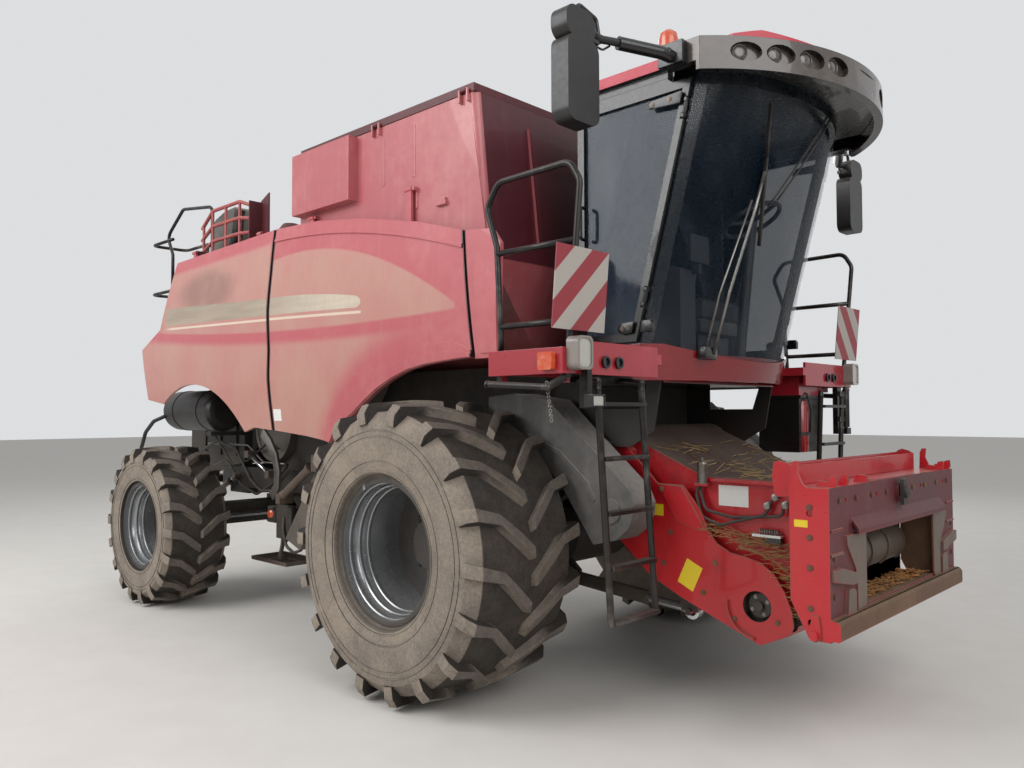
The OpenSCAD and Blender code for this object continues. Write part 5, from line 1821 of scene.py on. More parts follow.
@dataclass
class Bodywork:
    """Side panels, corner panels, engine deck and rails.

    Attributes:
        panel_seam: Place of the seam between a side's two panels.
        corner_seam: Place of the seam before the corner panel.
        label: Place of the blank label on the right front panel, in X and Z.
        deck: Height of the engine deck.
        rail: Radius of a rail's tube.
        post: Radius of a post's tube.
        rail_side: Distance of the deck rails from the middle.
        rail_front: Place of their front ends.
        rail_levels: Heights of each rail at its front end and past its first bend.
        posts: Places of the posts under the rails.
        plate_side: Distance of the red end plates from the middle.
        hoop: Distances from the middle of the rear hoop's uprights.
        hoop_back: Place of those uprights.
        hoop_levels: Heights of the hoop's two rings.
        screen: Outline of the air screen, in X and Z.
        cluster: Place of a rear lamp cluster, in Y and Z.
        reflector: Place of a reflector, in Y and Z.
        bolt_row: Height of the row of bolts at the rear.
    """

    panel_seam: float = -2.02
    corner_seam: float = 0.37
    label: Pair = (-1.93, 1.765)
    deck: float = 3.2402
    rail: float = 0.017
    post: float = 0.0136
    rail_side: float = 1.29
    rail_front: float = -2.694
    rail_levels: tuple[Pair, ...] = ((3.405, 3.425), (3.53, 3.57), (3.65, 3.72))
    posts: tuple[float, ...] = (-2.9, -3.16, -3.42)
    plate_side: float = 1.18
    hoop: Pair = (-1.15, -0.76)
    hoop_back: float = -4.6
    hoop_levels: Pair = (3.095, 3.645)
    screen: tuple[Pair, ...] = (
        (-3.96, 3.2402), (-3.96, 3.72), (-3.9, 3.77), (-3.72, 3.82), (-3.52, 3.83),
        (-3.42, 3.79), (-3.38, 3.7), (-3.38, 3.2402),
    )
    cluster: Pair = (1.12, 2.26)
    reflector: Pair = (0.85, 2.2)
    bolt_row: float = 2.42

    def build(self) -> None:
        """Dresses the outer sheets."""
        def seam(f: Face) -> bool:
            """Tells whether a face is a panel's end, towards its neighbour."""
            c = f.calc_center_median()
            x = c.x - AXLE_X
            return abs(f.normal.x) > 0.7 and c.z > 1.7 and (
                abs(x - self.panel_seam) < 0.05 or abs(x - self.corner_seam) < 0.09)

        # The panels' ends in the gaps take painted shade.
        for side, _ in SIDES:
            for end in ENDS:
                dress(
                    f"side_panel_{end}_{side}", f"panel_{end}_{side}", Look.PANEL,
                    "faded_panel", 0.003,
                    paint=lambda s: s.paint(seam, 2), more=[Look.SEAM],
                )
        dress("corner_panels", "root", Look.PANEL, "faded_panel", 0.003,
              paint=lambda s: s.paint(seam, 2), more=[Look.SEAM])
        dress("rear_panel", "root", Look.FADED, "faded_panel")
        self._rear_lamps()
        dress("engine_deck", "root", Look.RED_DARK, "chassis")
        self._deck_rails()
        self._air_screen()
        x, z = self.label
        point, normal = Skin("side_panel_front_right").hit(at(x, -2.5, z), (0.0, 1.0, 0.0))
        Shape().tag(point, normal, (0.115, 0.095)).piece(
            "blank_panel_label", "panel_front_right", [Look.LABEL], slot="warning_board"
        )

    def _deck_rails(self) -> None:
        """Replaces the rails on the deck and the rear hoops by bent tubes."""
        rails = Shape()
        for sign in (1.0, -1.0):
            y, inner = sign * self.rail_side, sign * self.plate_side
            edge = sign * (self.rail_side + 0.02)
            for low, high in self.rail_levels:
                rails.tube([at(self.rail_front, y, low), at(-2.9, y, high),
                            at(-3.42, y, high), at(-3.84, sign * 1.19, low - 0.02)],
                           self.rail, 0.16)
            for x in self.posts:
                rails.tube([at(x, y, self.deck), at(x, y, 3.712)], self.post)
            rails.tube([at(-3.78, sign * 1.204, self.deck), at(-3.78, sign * 1.204, 3.65)],
                       self.post)
            # The end plates take dark red as painted shade.
            rails.prism([(-2.7, self.deck), (-2.7, 3.7), (-2.56, 3.76), (-2.56, self.deck)],
                        wall, inner, inner + sign * 0.012, 1)
            rails.box(at(-2.7, min(inner, edge), self.deck),
                      at(-2.688, max(inner, edge), 3.69), 1)
        right, inner = self.hoop
        back = self.hoop_back
        rails.tube([at(-3.71, right, self.deck), at(-3.71, right, 3.84),
                    at(-4.363, right, 3.925), at(-4.734, right, 3.69),
                    at(back, right, 3.48), at(back, right, 2.7)], self.rail, 0.1, slot=2)
        rails.tube([at(back, inner, 2.7), at(back, inner, 3.655)], self.rail, slot=2)
        for z in self.hoop_levels:
            rails.tube([at(back, right, z), at(-5.12, right, z), at(-5.12, inner, z),
                        at(back, inner, z)], self.rail, 0.09, slot=2)
        for y in (right, inner):
            rails.tube([at(back, y, 2.76), at(-4.063, y, 2.76)], self.rail, slot=2)
        rails.piece("deck_rail_tubes", "root", [Look.FADED, Look.RED_DARK, Look.RAIL],
                    ["deck_rails"], "red_paint")

    def _air_screen(self) -> None:
        """Adds the dusty air screen and its black duct behind the right rails."""
        screen = Shape()
        screen.prism(self.screen, wall, -1.02, -0.8)
        screen.bevel(0.02)
        screen.piece("air_screen", "root", [Look.SHEET], slot="dusty_sheet")
        duct = Shape()
        duct.tube([at(-3.52, -1.07, 3.27), at(-3.36, -1.07, 3.5), at(-3.3, -1.07, 3.75)],
                  0.055, 0.15, 24)
        duct.lathe([(0.0, 0.0), (0.11, 0.0), (0.12, 0.03), (0.12, 0.1), (0.1, 0.13),
                    (0.0, 0.13)], at(-3.27, -1.07, self.deck), (0.0, 0.0, 1.0), 32)
        duct.piece("air_duct", "root", [Look.CHASSIS], slot="black_plastic")

    def _rear_lamps(self) -> None:
        """Adds the lamp clusters, the reflectors and the bolts at the rear."""
        skin = Skin("rear_panel")
        housing, reds, ambers = Shape(), Shape(), Shape()

        def spot(y: float, z: float) -> tuple[Vector, Vector]:
            """Finds a place on the rear panel."""
            return skin.hit(at(-6.0, y, z), (1.0, 0.0, 0.0))

        lamp_y, lamp_z = self.cluster
        for _, sign in SIDES:
            point, normal = spot(sign * lamp_y, lamp_z)
            housing.tag(point, normal, (0.24, 0.13), 0.03)
            for off, lens in ((-0.06, reds), (0.06, ambers)):
                point, normal = spot(sign * (lamp_y + off), lamp_z)
                middle = point + normal * 0.03
                lens.lathe([(0.0, 0.0), (0.045, 0.0), (0.045, 0.01), (0.03, 0.016),
                            (0.0, 0.018)], middle, normal, 28)
            point, normal = spot(sign * self.reflector[0], self.reflector[1])
            reds.lathe([(0.0, -0.002), (0.04, -0.002), (0.04, 0.006), (0.0, 0.008)],
                       point, normal, 28)
        housing.bevel(0.01)
        housing.piece("rear_lamp_housings", "root", [Look.CAB], slot="black_plastic")
        reds.piece("rear_red_lenses", "root", [Look.RED_LENS], slot="lamp_glass")
        ambers.piece("rear_amber_lenses", "root", [Look.AMBER], slot="lamp_glass")
        row = [spot(-1.2 + 0.2 * k, self.bolt_row) for k in range(13)]
        rivets = [tuple(point + normal * 0.002) for point, normal in row]
        bolts("rear_panel_bolts", "root", rivets, tuple(spot(0.0, self.bolt_row)[1]),
              Look.GUIDE, 0.008, 0.006)


@dataclass
class GrainTank:
    """Grain tank with its covers and the folded unloading tube.

    Attributes:
        front_wall: Place of the front wall.
        corner: Radius of the soft front corners.
    """

    front_wall: float = 0.28
    corner: float = 0.05

    def build(self) -> None:
        """Dresses the tank; its front wall is painted darker than its sides, as painted shade.
        """
        def front(f: Face) -> bool:
            """Tells whether a face belongs to the front wall."""
            return f.normal.x > 0.85 and f.calc_center_median().x > AXLE_X + self.front_wall

        def soft_corner(s: Shape) -> Shape:
            """Rounds the front corners and marks the front wall.

            Args:
                s: The tank's shape.

            Returns:
                The shape itself.
            """
            s.paint(front, 2)
            edges = [
                e for e in s.bm.edges
                if e.calc_length() > 0.8 and e.is_manifold
                and e.calc_face_angle(0.0) > math.radians(60)
                and min(v.co.x for v in e.verts) > AXLE_X + self.front_wall + 0.01
                and min(abs(v.co.y) for v in e.verts) > 1.3
                and abs(e.verts[0].co.z - e.verts[1].co.z) > 0.8
            ]
            bmesh.ops.bevel(
                s.bm, geom=edges, offset=self.corner, segments=5, profile=0.5, affect="EDGES",
                clamp_overlap=False, material=0,
            )
            return s

        dress("grain_tank", "root", Look.TANK, "faded_panel", 0.004,
              paint=soft_corner, more=[Look.TANK_FRONT])
        for side, _ in SIDES:
            dress(f"tank_cover_{side}", f"cover_{side}", Look.RED_DARK, "red_paint")
        dress("unloading_auger", "auger", Look.FADED, "faded_panel")


@dataclass
class Cab:
    """Cab shell, glass, doors, roof and what shows inside.

    Attributes:
        pillar: Where the skirt starts behind the front pillars.
        skirt_top: Highest point of the red skirt.
        roof_centre: Centre in X of the lamp band's arc.
        roof_radius: Its radius.
        lamp_angles: Places of the lamps along the arc, in degrees.
        lamp_z: Height of the lamps' centres.
        hinges: Outlines of the door's hinge plates, in X and Z.
        hinge_foot: Outline of the block that carries the lower hinge.
        hinge_holes: Places of the hinges' bolts, in X and Z.
        handle: Place of the door's handle, and its lower and upper ends.
        seat_base: Corners of the boxes under and behind the cushions.
        cushions: Names and corners of the cushions.
        controls: Corners of the armrest, its post, the monitor and its arm.
        links: Ends of the two wiper links, in Y and Z.
    """

    pillar: float = 1.166
    skirt_top: float = 2.2
    roof_centre: float = 0.842
    roof_radius: float = 1.42
    lamp_angles: tuple[float, ...] = (13.5, 22.0, 30.5, 39.0)
    lamp_z: float = 3.75
    hinges: tuple[tuple[Pair, ...], ...] = (
        ((1.345, 3.563), (1.34, 3.59), (1.365, 3.607), (1.57, 3.617), (1.578, 3.605),
         (1.56, 3.548)),
        ((1.115, 2.262), (1.112, 2.292), (1.135, 2.312), (1.226, 2.318), (1.21, 2.25),
         (1.135, 2.245)),
    )
    hinge_foot: tuple[Pair, ...] = (
        (1.277, 2.25), (1.292, 2.318), (1.35, 2.318), (1.362, 2.3), (1.36, 2.25),
    )
    hinge_holes: tuple[Pair, ...] = (
        (1.372, 3.585), (1.49, 3.588), (1.145, 2.28), (1.19, 2.285),
    )
    handle: Point = (0.86, 2.86, 3.06)
    seat_base: tuple[tuple[Point, Point], ...] = (
        ((0.9, -0.2, 2.1101), (1.21, 0.2, 2.3)), ((0.885, -0.25, 2.3), (1.26, 0.25, 2.392)),
        ((0.835, -0.2, 2.45), (0.86, 0.2, 3.05)),
    )
    cushions: tuple[tuple[str, Point, Point], ...] = (
        ("seat_cushion", (0.9, -0.262, 2.396), (1.285, 0.262, 2.515)),
        ("seat_back", (0.855, -0.24, 2.53), (0.935, 0.24, 3.16)),
    )
    controls: tuple[tuple[Point, Point], ...] = (
        ((0.9, -0.42, 2.62), (1.28, -0.33, 2.7)), ((1.0, -0.4, 2.1101), (1.1, -0.35, 2.62)),
        ((1.33, -0.52, 2.72), (1.36, -0.3, 2.9)), ((1.28, -0.42, 2.66), (1.35, -0.38, 2.76)),
    )
    links: tuple[tuple[Pair, Pair], ...] = (
        ((0.12, 3.66), (-0.31, 3.03)), ((0.2, 3.68), (-0.24, 3.08)),
    )

    def build(self) -> None:
        """Dresses the cab."""
        self._shell()
        dress("windscreen", "root", Look.SCREEN, "glass", 0.0)
        for side, sign in SIDES:
            self._door(side, sign)
        self._roof()
        self._seat()
        dress("steering_column", "root", Look.CONSOLE, "black_plastic", 0.003)
        self._controls()
        self._wiper()

    def _shell(self) -> None:
        """Dresses the shell: black frame, red skirt darkened as painted shade, and bare seals
        by the pillars.
        """
        def skirt(f: Face) -> bool:
            """Tells whether a face belongs to the red skirt."""
            c = f.calc_center_median()
            floor = abs(f.normal.z) > 0.9 and f.calc_area() > 0.15
            return c.z < self.skirt_top and c.x > AXLE_X + self.pillar and not floor

        def seal(f: Face) -> bool:
            """Tells whether a face belongs to a seal."""
            c = f.calc_center_median()
            tall = f.calc_area() > 0.01
            return tall and abs(c.y) > 0.9035 and 2.26 < c.z < 3.7 and c.x > AXLE_X + 1.2

        dress(
            "cab_shell", "root", Look.CAB, "chassis", 0.003,
            paint=lambda s: s.paint(skirt, 2).paint(seal, 3),
            more=[Look.SKIRT, Look.CHROME],
        )

    def _door(self, side: str, sign: float) -> None:
        """Dresses a door, whose thin middle is glass, and adds its hinges and handle.

        Args:
            side: Left or right.
            sign: 1 for left, -1 for right.
        """
        node, body = f"cab_door_{side}", f"door_{side}"
        dress(node, body, Look.CAB, "glass", 0.0,
              paint=lambda s: s.paint(lambda f: f.calc_area() > 0.3, 2),
              more=[Look.GLASS])
        outer = max(abs(c.y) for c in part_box(node))
        plates = Shape()
        for outline in self.hinges:
            plates.prism(outline, wall, sign * (outer - 0.001), sign * (outer + 0.011))
        x, low, high = self.handle
        near, far = sign * (outer + 0.004), sign * (outer + 0.05)
        plates.tube([at(x, near, low), at(x, far, low), at(x, far, high), at(x, near, high)],
                    0.011, 0.03, 10)
        plates.bevel(0.002)
        plates.piece(f"door_fittings_{side}", body, [Look.CAB], slot="chassis")
        foot = Shape()
        foot.prism(self.hinge_foot, wall, sign * 0.935, sign * (outer + 0.022))
        foot.bevel(0.004)
        foot.piece(f"door_hinge_foot_{side}", "root", [Look.CAB], slot="chassis")
        holes = [at(x, sign * (outer + 0.013), z) for x, z in self.hinge_holes]
        bolts(f"hinge_bolts_{side}", body, holes, (0.0, sign, 0.0), Look.GUIDE,
              0.011, 0.008)

    def _roof(self) -> None:
        """Dresses the roof, the lamp band and the beacon, and adds the lamp glasses."""
        def dark(f: Face) -> bool:
            """Tells whether a face of the roof is its black underside or edge."""
            c = f.calc_center_median()
            return f.normal.z < -0.5 or (abs(f.normal.z) < 0.5 and c.z < 3.8)

        dress("cab_roof", "root", Look.ROOF, "red_paint", 0.006,
              paint=lambda s: s.paint(dark, 2), more=[Look.CAB])

        def amber(f: Face) -> bool:
            """Tells whether a face belongs to the beacon's dome."""
            return f.calc_center_median().z > 3.978

        def beacon_foot(f: Face) -> bool:
            """Tells whether a face belongs to the beacon's foot."""
            c = f.calc_center_median()
            return c.z > 3.88 and abs(c.x - AXLE_X - 1.336) < 0.1

        def inside(f: Face) -> bool:
            """Tells whether a face is on the band's inner side or underside."""
            c = f.calc_center_median()
            away = f.normal.x * (c.x - AXLE_X - self.roof_centre) + f.normal.y * c.y
            flat = abs(f.normal.z) < 0.5 and f.calc_area() > 0.004
            return f.normal.z < -0.5 or (flat and away < 0.0)

        dress("roof_lights", "root", Look.BAND, "lamp_band", 0.002,
              paint=lambda s: s.paint(inside, 2).paint(beacon_foot, 2).paint(amber, 3),
              more=[Look.CAB, Look.AMBER])
        glass = Shape()
        rims = Shape()
        for side in (1.0, -1.0):
            for turn in self.lamp_angles:
                a = math.radians(side * turn)
                way = Vector((math.cos(a), math.sin(a), 0.0))
                across = Vector((-math.sin(a), math.cos(a), 0.0)) * side
                middle = (Vector(at(self.roof_centre, 0.0, self.lamp_z))
                          + way * (self.roof_radius - 0.022) + across * 0.034)
                glass.lathe([(0.0, -0.01), (0.038, -0.01), (0.038, 0.0), (0.03, 0.005),
                             (0.016, 0.008), (0.0, 0.009)], middle, way, 32)
                rims.lathe([(0.038, -0.018), (0.046, -0.018), (0.046, 0.006),
                            (0.042, 0.009), (0.038, 0.006)], middle, way, 32)
        glass.piece("roof_lamp_glasses", "root", [Look.LAMP], slot="lamp_glass")
        rims.piece("roof_lamp_rims", "root", [Look.BAND], slot="lamp_band")

    def _seat(self) -> None:
        """Replaces the plain seat by its base and two padded cushions."""
        base = Shape()
        for low, high in self.seat_base:
            base.box(at(*low), at(*high))
        base.bevel(0.015)
        base.piece("seat_base", "root", [Look.CONSOLE], ["seat"], "seat_fabric")
        for name, low, high in self.cushions:
            form = Shape().box(at(*low), at(*high)).bevel(0.03)
            piece = form.piece(name, "root", [Look.SEAT], slot="seat_fabric")
            swell(piece)

    def _controls(self) -> None:
        """Adds the armrest with its lever and the blank monitor."""
        form = Shape()
        for low, high in self.controls:
            form.box(at(*low), at(*high))
        form.bevel(0.01)
        form.tube([at(1.22, -0.375, 2.69), at(1.24, -0.375, 2.78)], 0.012, 0.01, 12)
        form.lathe([(0.0, 0.0), (0.02, 0.004), (0.03, 0.03), (0.026, 0.07),
                    (0.012, 0.09), (0.0, 0.092)], at(1.24, -0.375, 2.77),
                   (0.15, 0.0, 1.0), 20)
        form.piece("armrest_and_monitor", "root", [Look.CONSOLE], slot="black_plastic")

    def _wiper(self) -> None:
        """Adds the wiper that stands up the middle of the windscreen."""
        skin = Skin("windscreen")

        def on_glass(y: float, z: float, off: float) -> Point:
            """Finds the point above the glass at a place seen from the front."""
            point, normal = skin.hit(at(3.0, y, z), (-1.0, 0.0, 0.0))
            return tuple(point + normal * off)

        blade = Shape()
        for off, radius in ((0.012, 0.006), (0.024, 0.009)):
            line = [on_glass(-0.47 + 0.02 * k, 3.6 - 0.1 * k, off) for k in range(9)]
            blade.tube(line, radius, 0.02, 6)
        blade.piece("wiper_blade", "root", [Look.HOSE], slot="black_plastic")
        arm = Shape()
        arm.tube([on_glass(-0.5, 2.14, 0.05), on_glass(-0.495, 2.5, 0.06),
                  on_glass(-0.44, 3.0, 0.055), on_glass(-0.41, 3.22, 0.03)], 0.01, 0.1, 10)
        arm.tube([on_glass(-0.56, 2.14, 0.05), on_glass(-0.55, 2.5, 0.05),
                  on_glass(-0.47, 3.05, 0.045)], 0.006, 0.1, 8)
        arm.piece("wiper_arms", "root", [Look.STEEL], slot="steel")
        motor = Shape()
        middle = Vector(on_glass(-0.53, 2.15, 0.03))
        motor.box(middle - Vector((0.03, 0.07, 0.045)), middle + Vector((0.03, 0.07, 0.03)))
        motor.bevel(0.008)
        motor.piece("wiper_foot", "root", [Look.CAB], slot="black_plastic")
        rods = Shape()
        for one, other in self.links:
            rods.tube([on_glass(one[0] + (other[0] - one[0]) * k / 6,
                                one[1] + (other[1] - one[1]) * k / 6, 0.02)
                       for k in range(7)], 0.006, 0.02, 8)
        rods.piece("wiper_links", "root", [Look.HOSE], slot="black_plastic")


@dataclass
class Platforms:
    """Platforms, ladders, handrails, boards, lamps and mirrors.

    Attributes:
        rail_line: Corners of a handrail, in X and Z.
        rail_bars: Cross bars of a handrail: first and last place, and height.
        rail_side: Distance of the handrails from the middle.
        rail: Radius of their tubes.
        chain_links: Number of links of the short chain.
        chain_step: Way from one link to the next, in X and Z.
        bottle: Place of the fire extinguisher's foot.
        front: Place of the platforms' front face.
        glasses: Mirror glasses: place in Y and Z, width, height, corner radius and X.
        board: Side of a striped board.
    """

    rail_line: tuple[Pair, ...] = (
        (0.9, 2.1102), (0.9, 2.17), (0.87, 2.7), (0.79, 2.93), (0.88, 3.06), (1.4, 3.07),
        (1.465, 2.96), (1.39, 2.17), (1.39, 2.1102),
    )
    rail_bars: tuple[Point, ...] = ((0.89, 1.402, 2.25), (0.872, 1.438, 2.66))
    rail_side: float = 1.75
    rail: float = 0.017
    chain_links: int = 9
    chain_step: Pair = (0.004, 0.024)
    bottle: Point = (1.3, 1.12, 1.47)
    front: float = 1.41
    glasses: tuple[tuple[float, float, float, float, float, float], ...] = (
        (1.764, 3.46, 0.21, 0.4, 0.05, 1.395), (1.784, 3.745, 0.19, 0.12, 0.05, 1.402),
    )
    board: float = 0.423

    def build(self) -> None:
        """Dresses what stands beside the cab."""
        self._decks()
        dress("ladder_left", "ladder", Look.RAIL, "worn_rail", 0.0)
        self._rails()
        self._lamps()
        self._mirrors()
        self._boards()

    def _rails(self) -> None:
        """Replaces the handrails by bent tubes on the same lines."""
        rails = Shape()
        for sign in (1.0, -1.0):
            y = sign * self.rail_side
            rails.tube([at(x, y, z) for x, z in self.rail_line], self.rail, 0.085, 14)
            for back, front, z in self.rail_bars:
                rails.tube([at(back, y, z), at(front, y, z)], self.rail, 0.0, 14)
        rails.piece("handrail_tubes", "root", [Look.RAIL], ["handrails"], "worn_rail")

    def _decks(self) -> None:
        """Dresses the platforms: red fascia, grey deck, black ladder and beams."""
        def black(f: Face) -> bool:
            """Tells whether a face belongs to the ladder, a beam or a box."""
            c = f.calc_center_median()
            x = c.x - AXLE_X
            ladder = x > 1.4105 and c.z < 1.975
            return ladder or c.z < 1.974 or abs(c.y) > 1.8305 or x < 0.64

        def deck(f: Face) -> bool:
            """Tells whether a face is the deck's upper side or its underside."""
            c = f.calc_center_median()
            return abs(f.normal.z) > 0.9 and 2.0 < c.z < 2.13 and f.calc_area() > 0.02

        dress("platforms", "root", Look.RED, "red_paint", 0.003,
              paint=lambda s: s.paint(deck, 2).paint(black, 3),
              more=[Look.DARK_SHEET, Look.RAIL])
        chain = Shape()
        along, down = self.chain_step
        for k in range(self.chain_links):
            way = (1.0, 0.0, 0.0) if k % 2 else (0.0, 1.0, 0.0)
            chain.lathe(
                [(0.007, -0.0025), (0.012, -0.0025), (0.012, 0.0025), (0.007, 0.0025)],
                at(1.27 + along * k, -1.79, 1.93 - down * k), way, 12,
            )
        chain.piece("short_chain", "root", [Look.STEEL], slot="steel")
        tank = Shape()
        tank.lathe([(0.0, 0.0), (0.055, 0.004), (0.06, 0.03), (0.06, 0.34),
                    (0.045, 0.39), (0.018, 0.41), (0.018, 0.45), (0.0, 0.45)],
                   at(*self.bottle), (0.0, 0.0, 1.0), 32)
        tank.piece("fire_extinguisher", "root", [Look.EXTINGUISHER], slot="red_paint")
        holder = Shape()
        x, y, _ = self.bottle
        holder.lathe([(0.0605, 0.0), (0.066, 0.0), (0.066, 0.025), (0.0605, 0.025)],
                     at(x, y, 1.6), (0.0, 0.0, 1.0), 32)
        holder.box(at(1.2, 1.1, 1.6), at(1.24, 1.14, 1.97))
        holder.box(at(1.2, 1.105, 1.6), at(1.25, 1.135, 1.625))
        holder.tube([at(x, y, 1.9), at(1.34, 1.15, 1.93), at(1.37, 1.16, 1.8),
                     at(1.36, 1.15, 1.62)], 0.008, 0.05, 10)
        holder.piece("extinguisher_holder", "root", [Look.CHASSIS], slot="chassis")

    def _lamps(self) -> None:
        """Dresses the lamps on the platforms' front."""
        face = AXLE_X + self.front

        def lens(f: Face) -> bool:
            """Tells whether a face is the front of a pod or of the work lamp."""
            c = f.calc_center_median()
            return f.normal.x > 0.9 and f.calc_area() > 0.004 and c.x > face + 0.05

        def dark(f: Face) -> bool:
            """Tells whether a face belongs to a socket or the work lamp's body."""
            c = f.calc_center_median()
            socket = face - 0.001 < c.x < face + 0.02 and abs(c.y) < 1.6
            return socket or c.z < 1.9

        def amber(f: Face) -> bool:
            """Tells whether a face belongs to a marker lamp."""
            return abs(f.calc_center_median().y) > 1.8302

        dress("headlamps", "root", Look.POD, "lamp_glass", 0.004,
              paint=lambda s: s.paint(dark, 3).paint(lens, 2).paint(amber, 4),
              more=[Look.CLEAR, Look.CAB, Look.AMBER])

    def _mirrors(self) -> None:
        """Dresses the mirrors and adds their glasses, which look to the rear."""
        dress("mirrors", "root", Look.PLASTIC, "black_plastic", 0.0)
        glasses = Shape()
        for sign in (1.0, -1.0):
            for y, z, w, h, r, x in self.glasses:
                outline = [
                    (sign * y + cy * (w / 2 - r) + r * math.cos(math.radians(a + t)),
                     z + cz * (h / 2 - r) + r * math.sin(math.radians(a + t)))
                    for cy, cz, t in ((1, 1, 0), (-1, 1, 90), (-1, -1, 180), (1, -1, 270))
                    for a in range(0, 91, 15)
                ]
                glasses.prism(outline, cross, x - 0.003, x + 0.002)
        glasses.piece("mirror_glasses", "root", [Look.MIRROR], slot="glass")
        arms = Shape()
        for sign in (1.0, -1.0):
            arms.tube([at(1.615, sign * 1.1, 3.745), at(1.6, sign * 1.2, 3.75),
                       at(1.49, sign * 1.45, 3.757)], 0.036, 0.08, 16)
            arms.box(at(1.53, sign * 1.135, 3.7), at(1.69, sign * 1.0835, 3.825))
            arms.tube([at(1.45, sign * 1.57, 3.775), at(1.45, sign * 1.59, 3.85),
                       at(1.45, sign * 1.74, 3.88), at(1.45, sign * 1.76, 3.82)],
                      0.012, 0.03, 12)
            arms.tube([at(1.47, sign * 1.5, 3.73), at(1.47, sign * 1.56, 3.69),
                       at(1.47, sign * 1.66, 3.69)], 0.006, 0.04, 8)
        arms.bevel(0.004)
        arms.piece("mirror_arm_brackets", "root", [Look.CAB], slot="black_plastic")

    def _boards(self) -> None:
        """Paints the striped boards, each mirrored to the other."""
        _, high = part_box("warning_boards")
        board = StripedBoard(
            "striped_board", "a9a29b", "8c1b2c", dust="8f857b", dusting=0.1, grime=0.0,
            veil=0.14, rough=0.45, corner=(high.y - self.board, high.z), side=-1.0,
        )
        dress("warning_boards", "root", board, "warning_board", 0.0)


